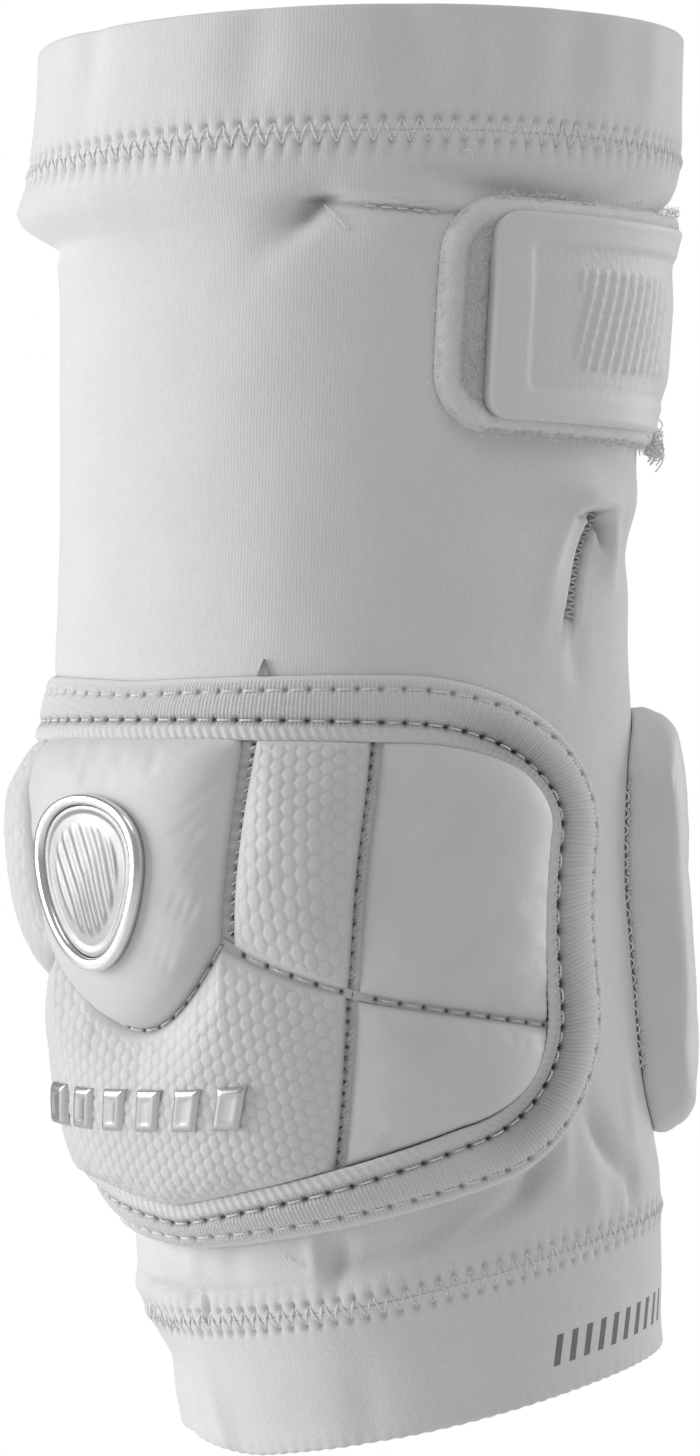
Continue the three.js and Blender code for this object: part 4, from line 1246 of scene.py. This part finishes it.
# rows of the grid in millimetres from the outer edge, then from the inner edge
from_outer = np.array([0, 0.12, 0.3, 0.6, 0.95, 1.3, 1.7, 2.1, 2.4, 2.7, 3.0, 3.35])
from_inner = np.array([4.6, 4.15, 3.8, 3.5, 3.2, 2.8, 2.4, 2.0, 1.6, 1.2, 0.8, 0.45, 0.15, 0.0])
between = np.linspace(0, 1, 8)[1:-1]
rows = [np.full(TAPE_COLUMNS, d) for d in from_outer]
rows += [lerp(from_outer[-1], tape_width - from_inner[0], share) for share in between]
rows += [tape_width - d for d in from_inner]
distance = np.array(rows)
place = tape_places(distance)
lift, shade = tape_lift(distance, tape_marks[None], tape_width[None], place[..., 1])
across = distance / tape_width[None]
# painted shade over the tape's inner half, strongest on the flanks beside the cap
beside = smooth((np.abs(turn_between(place[..., 0], 0)) - 62) / 20)      # the flanks lie in a valley
shade = shade + (0.04 + 0.32 * beside) * smooth((across - 0.15) / 0.6) * smooth((1.02 - across) / 0.15)
under = [(tape_width, lift[-1] - 0.5),
         (0.6 * tape_width, np.full(TAPE_COLUMNS, 1.2)),
         (0.9 + 0 * tape_width, np.full(TAPE_COLUMNS, 0.3)),
         (0.1 + 0 * tape_width, np.full(TAPE_COLUMNS, 0.3))]
under_place = tape_places(np.array([d for d, _ in under]))
place = np.concatenate([place, under_place])
lift = np.concatenate([lift, np.array([h for _, h in under])])
shade = np.concatenate([shade, np.zeros((len(under), TAPE_COLUMNS))])
points = form(place[..., 0], place[..., 1], lift)
long = np.append(tape_marks, 1) * TAPE_LENGTH
across = np.concatenate([distance, np.array([d for d, _ in under])])
across = np.concatenate([across, across[:, :1]], 1)
tape_grid = np.stack([np.broadcast_to(long, across.shape), across], -1)


def tape_finish():
    tape = Finish("ribbed tape", roughness=0.8, sheen=0.2, specular=0.3)
    x, y = tape.place()
    weave = (x + y * 0.35).wave(0.42) * 0.3 + y.wave(0.5) * 0.3
    fibre = tape.grain(0.2, 3.0)
    tape.colour(0.80, 0.08, tape.shade() + fibre.step(0.3, 0.8) * 0.04)
    return tape.bump(weave + fibre * 1.2, 0.06)


TAPE = tape_finish()
add_tube("ribbed_binding", points[:, ::-1], tape_grid[:, ::-1], shade[:, ::-1], finish=TAPE,
         slot="tape", nodes=("pad_binding",))

# %% Sew the binding and the hems
def tape_stitches(row, from_outer):
    """One row of stitches, at a distance from the tape's outer or inner edge."""
    hole = np.arange(stitch_count) / stitch_count * TAPE_COLUMNS
    ends = []
    for shift in (0.13, 0.87):
        column = (hole + shift * TAPE_COLUMNS / stitch_count) % TAPE_COLUMNS
        whole = column.astype(int)
        away = row if from_outer else tape_width[whole] - row
        share = away / (tape_width[whole] - LAP_IN)
        spot = lerp(tape_outer[whole], tape_inner[whole], share[:, None])
        mark = whole / TAPE_COLUMNS + 0.5 / stitch_count
        height, _ = tape_lift(away, mark, tape_width[whole], spot[:, 1])
        ends.append(np.column_stack([spot, height]))
    return stitches(*ends, (-0.6, -0.05, 0.2, 0.26, 0.26, 0.2, -0.05, -0.6))


both_rows = np.concatenate([tape_stitches(OUTER_ROW, True), tape_stitches(INNER_ROW, False)])
add_threads("binding_stitches", both_rows, 0.2, THREAD, "tape")

notch_u, notch_v = np.meshgrid(np.linspace(-1, 1, 8), np.linspace(0, 1, 8))
add_pad("notch_mark", 32.3 + 1.5 * notch_u * (1 - 0.93 * notch_v), 35.9 + 3.0 * notch_v,
        0.5 + 0.1 * notch_u**2, 0.5 + 0.3 * notch_v, seat=0.1, finish=TAPE, slot="tape")


def zigzag_paths(seam_level, count):
    """A thread from hole to hole, up and down across a seam."""
    number = np.arange(2 * count + 1)
    turn = number / (2 * count) * 360
    level = seam_level + np.where(number % 2 == 0, 1, -1) * ZIGZAG_TALL / 2
    share = np.linspace(0, 1, 5)[None, :]
    lift = np.array([-0.40, 0.10, 0.22, 0.10, -0.40])[None]
    turns = lerp(turn[:-1, None], turn[1:, None], share)
    levels = lerp(level[:-1, None], level[1:, None], share)
    rise, surface, _ = knit_surface(turns, levels)
    return form(turns, rise, np.maximum(surface, -0.1) + lift)


add_threads("zigzag_thread", np.concatenate([
    zigzag_paths(BODY_TOP, TOP_ZIGZAGS), zigzag_paths(BODY_FOOT, FOOT_ZIGZAGS)]), 0.21, THREAD, "knit")

# %% [markdown]
# ## Seam threads
# At the bottom of each seam of the cap a little cloth shows. A dark line in the shader could stand
# for it, but the seam would look painted on, so each seam gets a narrow strip with needle holes,
# darkened by painted shade. Over it go short bars of thread darkened by painted shade at the sides, and
# long stitches where the panels cross.

# %% Sew the seams of the cap
def flat_run(line):
    """Millimetres run along a line of turns and rises."""
    return np.cumsum(np.linalg.norm(np.gradient(line, axis=0) * [PER_DEGREE, 1], axis=-1))


def seam_bars(curve, pitch, wide, lift, seed, lean=0.0):
    """Short threads across a seam, a little uneven, as by hand."""
    random = np.random.default_rng(seed)
    line = curve(np.linspace(0.02, 0.98, 200))
    marks = running_length(form(line[:, 0], line[:, 1], lift))
    spots = np.arange(pitch / 2, marks[-1], pitch)
    spots = spots + random.uniform(-0.12, 0.12, len(spots)) * pitch
    middle, ahead = read_line(spots, marks, line), read_line(spots + 0.5, marks, line)
    along = unit((ahead - middle) * [PER_DEGREE, 1])
    across = along[:, ::-1] * [1, -1] + along * lean
    half = wide / 2 * random.uniform(0.75, 1.1, len(spots))[:, None]
    ends = [np.column_stack([middle + sign * across * half / [PER_DEGREE, 1],
                             np.full(len(spots), lift)]) for sign in (-1, 1)]
    return stitches(*ends, (-0.5, 0.0, 0.12, 0.16, 0.12, 0.0, -0.5))


def add_channel(name, curve, offset, wide, lift, pitch=1.9, ladder=0.2, dark=0.22, row=0.28, line=0.0):
    """A strip of cloth at the bottom of a seam: needle holes, a ladder of thread, and painted shade over
    it, in its holes and in a dark line along the row of holes.
    """
    course = curve(np.linspace(0, 1, 160))
    ahead = unit(np.gradient(course, axis=0) * [PER_DEGREE, 1])
    aside = ahead[:, ::-1] * [1, -1] / [PER_DEGREE, 1]
    across = np.linspace(-0.5, 0.5, 12)
    spot = course[:, None] + aside[:, None] * (offset + wide * across)[None, :, None]
    run = flat_run(course)[:, None]
    step = np.cos(2 * np.pi * run / pitch)
    hole = bell((run / pitch - np.round(run / pitch)) * pitch, 0.4) * bell((across - row) * wide, 0.45)
    uneven = 0.5 + 0.5 * rumple(spot[..., 0], spot[..., 1], 5, len(name))
    over = lift + ladder * step - 0.45 * hole
    edge = bell((across - row) * wide + 0.3 * rumple(spot[..., 0], spot[..., 1], 3, 5), 0.4)
    # painted shade on the strip: patchy all over, in the ladder's dips, in the needle holes and along a
    # line by the row of holes
    shade = dark * (0.6 + 0.8 * uneven) + 0.4 * ladder * step + (0.75 - line * (1 - uneven)) * hole
    shade = np.clip(shade + line * edge * (0.4 + 0.6 * uneven), 0, 1)
    add_pad(name, spot[..., 0], spot[..., 1], over, shade, seat=0.8, finish=TAPE, slot="tape")


def running_thread(curve, pitch, lift):
    """Long stitches along a seam, from hole to hole."""
    line = curve(np.linspace(0, 1, 190))
    run = flat_run(line)
    spots = np.arange(pitch, run[-1] - pitch / 2, pitch)
    ends = [np.column_stack([read_line(spots + shift * pitch, run, line),
                             np.full(len(spots), lift)]) for shift in (0.12, 0.88)]
    return stitches(*ends, (-0.6, 0.05, 0.25, 0.3, 0.25, 0.05, -0.6))


LONG_STITCH = 4.4
ladders, fuzzy, running = [], [], []
for side, flip in (("right", lambda curve: curve), ("left", mirrored)):
    sign = 1 if side == "right" else -1
    add_channel(f"tongue_channel_{side}", flip(tongue_side), sign * CHANNEL / 2, CHANNEL + 0.8, 3.6,
                dark=0.30)
    aside = np.array([sign * (CHANNEL - 0.3) / PER_DEGREE, 0])
    ladders.append(seam_bars(lambda share: flip(tongue_side)(share) + aside, 1.9, 1.0, 4.1, 40 + sign,
                             lean=0.7))
    for number, curve in enumerate((side_seam_upper, side_seam_lower)):
        add_channel(f"side_strip_{number + 1}_{side}", flip(curve), 0, 2.5, 3.5, 2.1, 0.08, 0.26,
                    row=-0.22 * sign, line=0.5)
        fuzzy.append(seam_bars(flip(curve), 1.25, 1.7, SEAM_HEIGHT - 1.1, number + 20, lean=1.1 * sign))
    for number, curve in enumerate((cross_seam_inner, cross_seam_outer)):
        add_channel(f"cross_strip_{number + 1}_{side}", flip(curve), 0, 1.5, 3.8, LONG_STITCH, 0.0, 0.28,
                    row=0)
        running.append(running_thread(flip(curve), LONG_STITCH, SEAM_HEIGHT - 0.9))
add_channel("tongue_foot_strip", tongue_foot, 0, 1.7, 3.6, LONG_STITCH, 0.0, 0.30, row=0)
running.append(running_thread(tongue_foot, LONG_STITCH, SEAM_HEIGHT - 0.9))
add_threads("channel_stitches", np.concatenate(ladders), 0.15, THREAD, "tape")
add_threads("side_seam_threads", np.concatenate(fuzzy), 0.11, SHADED_THREAD, "tape")
add_threads("cross_seam_threads", np.concatenate(running), 0.19, THREAD, "tape")

# %% [markdown]
# ## Chromed badge and bars
# The badge is a cast oval: a raised ring round a plate with plain ridges. The bars below it are
# small castings too. Chrome is nearly all reflection, so its look comes from rounded edges that
# catch the boxes and from a faint satin grain, not from its colour.

# %% Cast the badge and the bars
BADGE_WIDTH, BADGE_HEIGHT, BADGE_RISE, BADGE_TURN, BADGE_TAPER = 29, 34, 4.5, -1.5, 0.16
BEZEL_WIDTH, BEZEL_THICKNESS, PLATE_THICKNESS = 2.6, 2.2, 1.2
BADGE_SEAT = SEAM_HEIGHT + 5.2 + SEAT_GAP
BADGE_SIDES = 160
badge_middle, badge_beside, badge_above = form(
    [BADGE_TURN, BADGE_TURN + 1, BADGE_TURN], [BADGE_RISE, BADGE_RISE, BADGE_RISE + 1], BADGE_SEAT)
badge_per_degree = np.linalg.norm(badge_beside - badge_middle)
badge_per_rise = np.linalg.norm(badge_above - badge_middle)


def chrome_finish(name, light=0.90, dark=0.70, satin=0.13):
    """Chrome, more satin the higher the last value."""
    chrome = Finish(name, roughness=0.24, metallic=1.0)
    brushed = chrome.grain(0.35, 3.0)
    wear = chrome.grain(5.0)
    chrome.colour(light, dark, brushed.step(0.3, 0.8) * 0.35 + wear.step(0.5, 0.8) * 0.2)
    chrome.feed("Roughness", wear * 0.14 + brushed * 0.08 + satin)
    return chrome.bump(brushed + wear * 0.6, 0.012)


CHROME = chrome_finish("chrome")
SATIN = chrome_finish("satin chrome", 0.40, 0.30, 0.36)
BAR_CHROME = chrome_finish("bar chrome", 0.66, 0.46, 0.20)


def badge_points(angle, inset, share, lift):
    up = np.sin(angle)
    across = np.cos(angle) * (1 + BADGE_TAPER * up)
    turn = BADGE_TURN + share * (BADGE_WIDTH / 2 - inset) * across / badge_per_degree
    return form(turn, BADGE_RISE + share * (BADGE_HEIGHT / 2 - inset) * up / badge_per_rise, lift)


angles = 2 * np.pi * np.arange(BADGE_SIDES) / BADGE_SIDES
ring_top = BADGE_SEAT + BEZEL_THICKNESS
# inset from the badge's edge and height, from its foot outside over the top to its foot inside
ring = [(0, BADGE_SEAT), (0, ring_top - 0.9), (0.12, ring_top - 0.5), (0.35, ring_top - 0.2),
        (0.65, ring_top - 0.03), (1.2, ring_top + 0.05), (1.8, ring_top), (2.1, ring_top - 0.1),
        (2.4, ring_top - 0.35), (BEZEL_WIDTH, ring_top - 0.75), (BEZEL_WIDTH, BADGE_SEAT)]
points = np.array([badge_points(angles, inset, 1, lift) for inset, lift in ring])
places = np.zeros((len(ring), BADGE_SIDES + 1, 2))
add_tube("badge_ring", points, places, np.zeros(points.shape[:2]), finish=CHROME, slot="chrome",
         nodes=("badge_bezel",))

RIDGE_PITCH = 3.4
plate_shares = np.concatenate([[1.0, 0.995, 0.98], np.linspace(0.96, 0.004, 60)])
share, angle = np.meshgrid(plate_shares, angles, indexing="ij")
x = share * np.cos(angle) * BADGE_WIDTH / 2
y = share * np.sin(angle) * BADGE_HEIGHT / 2
ridge = (x + 0.32 * y) / RIDGE_PITCH
ridge = (0.5 + 0.5 * np.cos(2 * np.pi * ridge)) * smooth((0.76 - share) / 0.12)
lift = BADGE_SEAT + PLATE_THICKNESS - 0.3 + 0.26 * ridge + 0.3 * smooth((share - 0.86) / 0.08)
lift[0] -= 0.5
plate = badge_points(angle, BEZEL_WIDTH + 0.15, share, lift)
plate = np.concatenate([plate, badge_points(angle[-1:], BEZEL_WIDTH + 0.15, 0.004, BADGE_SEAT),
                        badge_points(angle[:1], BEZEL_WIDTH + 0.15, 1, BADGE_SEAT)])
add_tube("badge_face", plate, np.zeros((len(plate), BADGE_SIDES + 1, 2)), np.zeros(plate.shape[:2]),
         finish=SATIN, slot="chrome", nodes=("badge_plate",))

TRIM_BARS, TRIM_SPAN, TRIM_HEIGHT, TRIM_THICKNESS = 6, 56, 7.5, 1.1
TRIM_RISE, TRIM_TURN, TRIM_SLANT, TRIM_FILL = -28.5, -1, 3.2, 0.62
TRIM_SEAT = SEAM_HEIGHT + 5 + 0.2
bar_u, bar_v = np.meshgrid(spread(14, 0.7), spread(22, 0.8))
for index in range(TRIM_BARS):
    pitch = TRIM_SPAN / TRIM_BARS
    turn = TRIM_TURN - TRIM_SPAN / 2 + index * pitch + TRIM_FILL * pitch * bar_u + TRIM_SLANT * bar_v
    rise = TRIM_RISE + TRIM_HEIGHT * (bar_v - 0.5)
    distance = border_distance(turn, rise)
    over = TRIM_SEAT + TRIM_THICKNESS - 0.1 - 0.6 * roll_down(distance, 1.3)
    over = over + 0.25 * bell(distance - 1.1, 0.6)
    add_pad(f"chrome_bar_{index + 1}", turn, rise, over, 0.0, seat=TRIM_SEAT - 0.7, finish=BAR_CHROME,
            slot="chrome", nodes=(f"trim_bar_{index + 1}",))

# %% [markdown]
# ## The strap, its patch and its tab
# On the upper arm lies a patch of loop fleece with a rolled edge. A moulded tab at the end of an
# elastic strap closes on it. Fleece could be a particle hair system, but the export keeps only
# meshes, so some 1,300 short fibres are laid as thin tubes, at the frayed edge and on the face.

# %% The finishes for fleece, the tab and the strap
def fleece_finish():
    fleece = Finish("loop fleece", roughness=0.95, sheen=0.5, specular=0.1)
    loops = fleece.grain(0.45, 4.0)
    patches = fleece.grain(3.5)
    # painted shade where the loops' bump is low, and random patchy tone
    dark = fleece.shade() + loops.step(0.62, 0.30) * 0.12 + patches.step(0.4, 0.7) * 0.06
    fleece.colour(0.86, 0.20, dark)
    return fleece.bump(loops * 1.4 + patches, 0.18)


FIELD_SHADE = 0.05               # the shade in the tab's sunken field, where the pebbles are


def moulded_finish():
    rubber = Finish("moulded rubber", roughness=0.55, specular=0.4)
    sand = rubber.grain(0.30, 2.0)
    cloud = rubber.grain(6.0)
    rubber.colour(0.79, 0.14, rubber.shade() + sand.step(0.45, 0.75) * 0.06 + cloud * 0.04)
    rubber.feed("Roughness", sand * 0.2 + 0.42)
    pebbles = rubber.grain(1.3, 2.0) * (rubber.shade() / FIELD_SHADE)
    return rubber.bump(sand * 0.8 + cloud + pebbles * 2.2, 0.07)


def webbing_finish():
    webbing = Finish("elastic webbing", roughness=0.85, sheen=0.2, specular=0.25)
    x, y = webbing.place()
    rib = (x + webbing.grain(2.0) * 0.3).wave(0.95)
    cord = y.wave(1.3)
    # painted shade in the troughs between the ribs
    webbing.colour(0.78, 0.16, webbing.shade() + (0.5 - rib * 0.5) * 0.16)
    return webbing.bump(rib * 0.7 + cord * 0.4 + webbing.grain(0.25) * 0.7, 0.14)


FLEECE, RUBBER, WEBBING = fleece_finish(), moulded_finish(), webbing_finish()


def add_plate(name, turn, rise, over, under, shade, finish, slot, node):
    """A thin plate with a full underside, for what shows from both sides."""
    every = closed_faces(*turn.shape)
    points = np.concatenate([form(turn, rise, lift).reshape(-1, 3) for lift in (over, under)])
    place = np.stack([turn * PER_DEGREE, rise], -1).reshape(-1, 2)
    shades = np.concatenate([np.ravel(np.broadcast_to(shade, turn.shape)), np.zeros(turn.size)])
    return add_piece(name, points, every.tolist(), np.concatenate([place, place])[every.ravel()],
                     shades, finish=finish, slot=slot, nodes=(node,))


# %% Lay the patch, the tab and the strap
STRAP_RISE, STRAP_WIDTH, STRAP_WALL, STRAP_END_TURN = 103, 37, 1.8, 252
BOX_SEAM = (0.955, 0.985)        # shares of the strap's length where its end is sewn down
# turns of the ends, height, corner radius, thickness
PATCH = ((64, 141), 43, 11, 1.8)
TAB = ((74, 148), 38, 4.5, 2.6)
PATCH_ROLL = 4.8                 # width of the patch's rolled edge
TAB_RIM = (6.6, 4.6)             # width of the tab's flat rim at its end and at its sides


def tab_press(turn, rise):
    """The stiff tab sinks in where the knit flares above it, and is pulled in at its lower end."""
    low_end = smooth((STRAP_RISE - 7 - rise) / 11) * smooth((turn - 108) / 26)
    return 1.5 * smooth((rise - STRAP_RISE - 4) / 14) + 2.0 * low_end


patch_u, patch_v = np.linspace(0, 1, 110), spread(70, 0.3)
turn, rise = rounded_places(PATCH[0], STRAP_RISE, *PATCH[1:3], False, patch_u, patch_v)
away = rounded_distance(turn, rise, PATCH[0][0], STRAP_RISE, PATCH[1], PATCH[2])
rolled = np.sqrt(np.clip(1 - (away / PATCH_ROLL * 2 - 1) ** 2, 0, 1))
lumpy = rumple(turn, rise, 3.5, 12) + 0.6 * rumple(turn, rise, 1.9, 13)
inner_slope = 1.5 + 1.2 * smooth((PATCH_ROLL - away) * 2 / PATCH_ROLL)
lift = 0.3 + np.where(away < PATCH_ROLL / 2, 2.7 * rolled, inner_slope)
lift = lift + (0.05 + 0.10 * smooth(away - PATCH_ROLL)) * lumpy
# darker over the fleece inside the roll, with painted shade in the crease at the roll's inner foot
shade = 0.30 * smooth((away - PATCH_ROLL + 0.8) / 1.4) + 0.12 * bell(away - PATCH_ROLL - 0.3, 0.5)
add_plate("fleece_patch", turn, rise, lift, 0.15, shade, FLEECE, "fleece", "loop_patch")

tab_u, tab_v = spread(132, 0.15), spread(80, 0.5)
turn, rise = rounded_places(TAB[0], STRAP_RISE, TAB[1], TAB[2], False, tab_u, tab_v)
away = rounded_distance(turn, rise, TAB[0][0], STRAP_RISE, TAB[1], TAB[2])
TAB_SEAT = 2 * SEAT_GAP + PATCH[3]
field = smooth(rounded_distance(turn, rise, TAB[0][0], STRAP_RISE, TAB[1], 3.0, TAB_RIM) / 1.8)
rib_run = turn * PER_DEGREE * 1.15 - 0.28 * (rise - STRAP_RISE)
rib_ends = smooth((9.5 - np.abs(rise - STRAP_RISE)) / 0.8)
rib_side = smooth((turn - 93) / 1.5) * smooth((126 - turn) / 1.5) * rib_ends
grip_rib = smooth((np.cos(2 * np.pi * rib_run / 3.3) - 0.1) / 0.6) * rib_side
press = tab_press(turn, rise)
lift = TAB_SEAT + TAB[3] + 0.2 - press - 0.55 * field - 0.8 * roll_down(away, 1.4) + 0.5 * grip_rib
add_plate("moulded_tab", turn, rise, lift, TAB_SEAT - 0.4 - press, FIELD_SHADE * field, RUBBER,
          "moulded", "strap_tab")

strap_u, strap_v = np.meshgrid(np.linspace(0, 1, 150), spread(40, 0.4))
turn = lerp(TAB[0][1] - 0.6, STRAP_END_TURN, strap_u)
rise = STRAP_RISE + STRAP_WIDTH * (strap_v - 0.5) + 0.25 * np.sin(strap_u * 9) * (strap_v - 0.5)
seat = lerp(TAB_SEAT - tab_press(turn, rise), 0.4, smooth(strap_u / 0.2))
selvage = np.abs(strap_v - 0.5) * STRAP_WIDTH
edge = np.clip(1 - (STRAP_WIDTH / 2 - selvage) / 0.9, 0, 1)
over = seat + STRAP_WALL - 0.8 * edge**2 - 0.3 * bell(selvage - STRAP_WIDTH / 2 + 2.0, 0.5)
over = over + 0.15 * rumple(turn, rise, 20, 15) - 0.7 * smooth((strap_u - 0.985) / 0.015)
box_seam = bell(strap_u - BOX_SEAM[0], 0.004) + bell(strap_u - BOX_SEAM[1], 0.004)
# painted shade at the strap's rolled-down edges and in its sunk box seam
strap = add_plate("elastic_strap", turn, rise, over - 0.3 * box_seam, seat,
                  0.35 * edge + 0.15 * box_seam, WEBBING, "webbing", "strap")


def line_stitches(turns, rises, pitch, lift, radius_lift=0.25):
    """Even stitches along a line of places on the sleeve."""
    marks = running_length(form(turns, rises, lift))
    spots = np.arange(0.3 * pitch, marks[-1] - pitch, pitch)
    lines = (turns, rises, np.broadcast_to(lift, turns.shape))
    ends = [np.column_stack([np.interp(at, marks, line) for line in lines])
            for at in (spots, spots + 0.72 * pitch)]
    return stitches(*ends, (-0.5, 0.0, radius_lift, radius_lift, 0.0, -0.5))


sewn = []
box_turns = [lerp(TAB[0][1], STRAP_END_TURN, share) for share in BOX_SEAM]
box_rises = [STRAP_RISE + side * (STRAP_WIDTH / 2 - 1) for side in (-1, 1)]
for turn in box_turns:
    sewn.append(line_stitches(np.full(40, turn), np.linspace(*box_rises, 40), 2.6, 0.4 + STRAP_WALL))
for rise in box_rises:
    sewn.append(line_stitches(np.linspace(*box_turns, 12), np.full(12, rise), 1.6, 0.4 + STRAP_WALL))
add_threads("strap_stitches", np.concatenate(sewn), 0.17, THREAD, "webbing")

# %% [markdown]
# ## Fuzz, tucks and loose ends
# The small faults sell the cloth: fibres on the fleece, fuzzy thread along the plain pad's first
# edge, a sewn dart at the side above the elbow, a tuck above the cap and a few loose ends. All are
# thin tubes. What is random comes from fixed seeds, so that every run gives the same fluff.

# %% Lay the fuzz
def fibres(turn, rise, lift, length, height, seed, steps=5):
    """Short curly paths that start at given places."""
    random = np.random.default_rng(seed)
    count = len(turn)
    heading = random.uniform(0, 2 * np.pi, count)[:, None]
    curl = random.uniform(-2.6, 2.6, count)[:, None]
    share = np.linspace(0, 1, steps)[None]
    reach = (length * random.uniform(0.5, 1.2, count))[:, None]
    x = reach * share * np.cos(heading + curl * share)
    y = reach * share * np.sin(heading + curl * share)
    up = height * random.uniform(0.3, 1.3, count)[:, None] * np.sin(np.pi * share * 0.8)
    return form(turn[:, None] + x / PER_DEGREE, rise[:, None] + y, np.asarray(lift).reshape(-1, 1) + up)


def scatter(count, low, high, seed):
    return np.random.default_rng(seed).uniform(low, high, count)


EDGE_FIBRES, FACE_FIBRES, TUFTS, PAD_FIBRES = 1000, 700, 60, 420
edge_v = spread(60, 0.2)
patch_grid = np.stack(rounded_places(PATCH[0], STRAP_RISE, *PATCH[1:3], False, patch_u, edge_v), -1)
loop = np.concatenate([patch_grid[:, 0], patch_grid[0], patch_grid[-1]])
random = np.random.default_rng(5)
picked = loop[random.integers(0, len(loop), EDGE_FIBRES)] + random.normal(0, 0.45, (EDGE_FIBRES, 2))
picked = picked[(picked[:, 0] > PATCH[0][0] + 11) | (np.arange(EDGE_FIBRES) % 4 == 0)]
picked = picked[picked[:, 0] < 134]
face = np.column_stack([scatter(FACE_FIBRES, 68, 80, 6), scatter(FACE_FIBRES, 84, 122, 7)])
picked = np.concatenate([picked, face[np.abs(face[:, 1] - STRAP_RISE) < 19]])
add_threads("patch_fibres", fibres(picked[:, 0], picked[:, 1], 1.4, 1.3, 0.9, 8), 0.055, THREAD,
            "fleece", sides=4)

tuft_turn = scatter(TUFTS, 134, 140.5, 9)
tuft_rise = scatter(TUFTS, 80.5, 84, 11)
add_threads("patch_tufts", fibres(tuft_turn, tuft_rise, 1.6, 3.6, 2.8, 12, 9), 0.13, THREAD,
            "fleece", sides=5)

fuzz_turn, fuzz_rise, _ = (grid[:, 0] for grid in side_pad_shape(spread(60, 0.2), spread(200, 0.1)))
chosen = np.random.default_rng(13).integers(0, len(fuzz_turn), PAD_FIBRES)
fuzz_height = fuzz_rise[chosen] + scatter(PAD_FIBRES, -0.4, 0.4, 14)
fuzz = fibres(fuzz_turn[chosen] - 0.3, fuzz_height, 0.3, 1.2, 0.7, 15)
add_threads("pad_fuzz", fuzz, 0.09, THREAD, "leather", sides=4)
add_threads("pad_stitches", line_stitches(fuzz_turn - 0.7, fuzz_rise, 3.1, 0.3, 0.3), 0.2, THREAD,
            "leather")


def loose_thread(points, steps=14):
    """A smooth path through a few places (turn, rise, lift)."""
    points = np.array(points, float)
    weights = spline_weights(len(points), np.linspace(0, 1, steps))
    return form(*(weights @ points).T)


add_threads("loose_threads", [
    loose_thread([(41.5, 121.6, -0.8), (43, 120.2, 0.1), (45, 118.4, 0.5), (46.5, 117.0, 0.2)]),
    loose_thread([(137, 21, 4), (135.5, 20.2, 6.5), (139, 19.5, 8.6), (142, 18.5, 7.5)]),
    loose_thread([(22.6, -57.6, 0.4), (23.6, -59.2, 1.2), (24.8, -58.0, 1.4), (26.2, -60.2, 0.5)]),
    loose_thread([(66, 131.5, 0.3), (67.2, 132.4, 1.0), (68.0, 131.4, 1.1), (68.4, 129.8, 0.3)]),
    loose_thread([(117, 84, 5.2), (118.5, 82.0, 5.8), (116.5, 80.8, 4.4), (118.3, 79.4, 3.4)]),
], 0.13, THREAD)

DART_STEPS = 26
number = np.arange(DART_STEPS)
dart_share = lerp(0.02, 0.98, number / (DART_STEPS - 1))
dart_side = np.where(number % 2 == 0, 0.85, -0.85) * lerp(*DART_WIDE, dart_share) / PER_DEGREE
dart_run = np.column_stack([lerp(DART_FOOT[0], DART_TOP[0], dart_share) + dart_side,
                            lerp(DART_FOOT[1], DART_TOP[1], dart_share), np.full(DART_STEPS, -0.9)])
dart_paths = stitches(dart_run[:-1], dart_run[1:], (-0.4, 0.15, 0.3, 0.15, -0.4))
add_threads("dart_stitches", dart_paths, 0.20, SHADED_THREAD)
tuck_turn = np.linspace(48.5, 66, 30)
tuck_rise = 121.3 - 0.05 * (tuck_turn - 55)
add_threads("tuck_stitches", line_stitches(tuck_turn, tuck_rise, 2.9, 0.05, 0.12), 0.12, THREAD)

# %% [markdown]
# The knitted tubes and the strap are cloth stretched round an arm. The sleeve and the top hem are
# cut to the elbow's girth, so that the top is stretched wider, and the wrist hem to the wrist's own.
# The flat size of each knitted tube is printed.

# %% Say what each cloth is
CUT_GIRTH = 2 * math.pi * ELBOW_RADIUS
WRIST_GIRTH = CUT_GIRTH * SECTIONS[1][1]
for piece, girth, length in ((sleeve, CUT_GIRTH, BODY_TOP - BODY_FOOT + 2 * LAP),
                             (top_hem, CUT_GIRTH, UPPER_CUFF_HEIGHT),
                             (wrist_hem, WRIST_GIRTH, LOWER_CUFF_HEIGHT)):
    girth * MM
    length * MM
    print(piece.name, "flat", round(girth), "by", length, "mm")
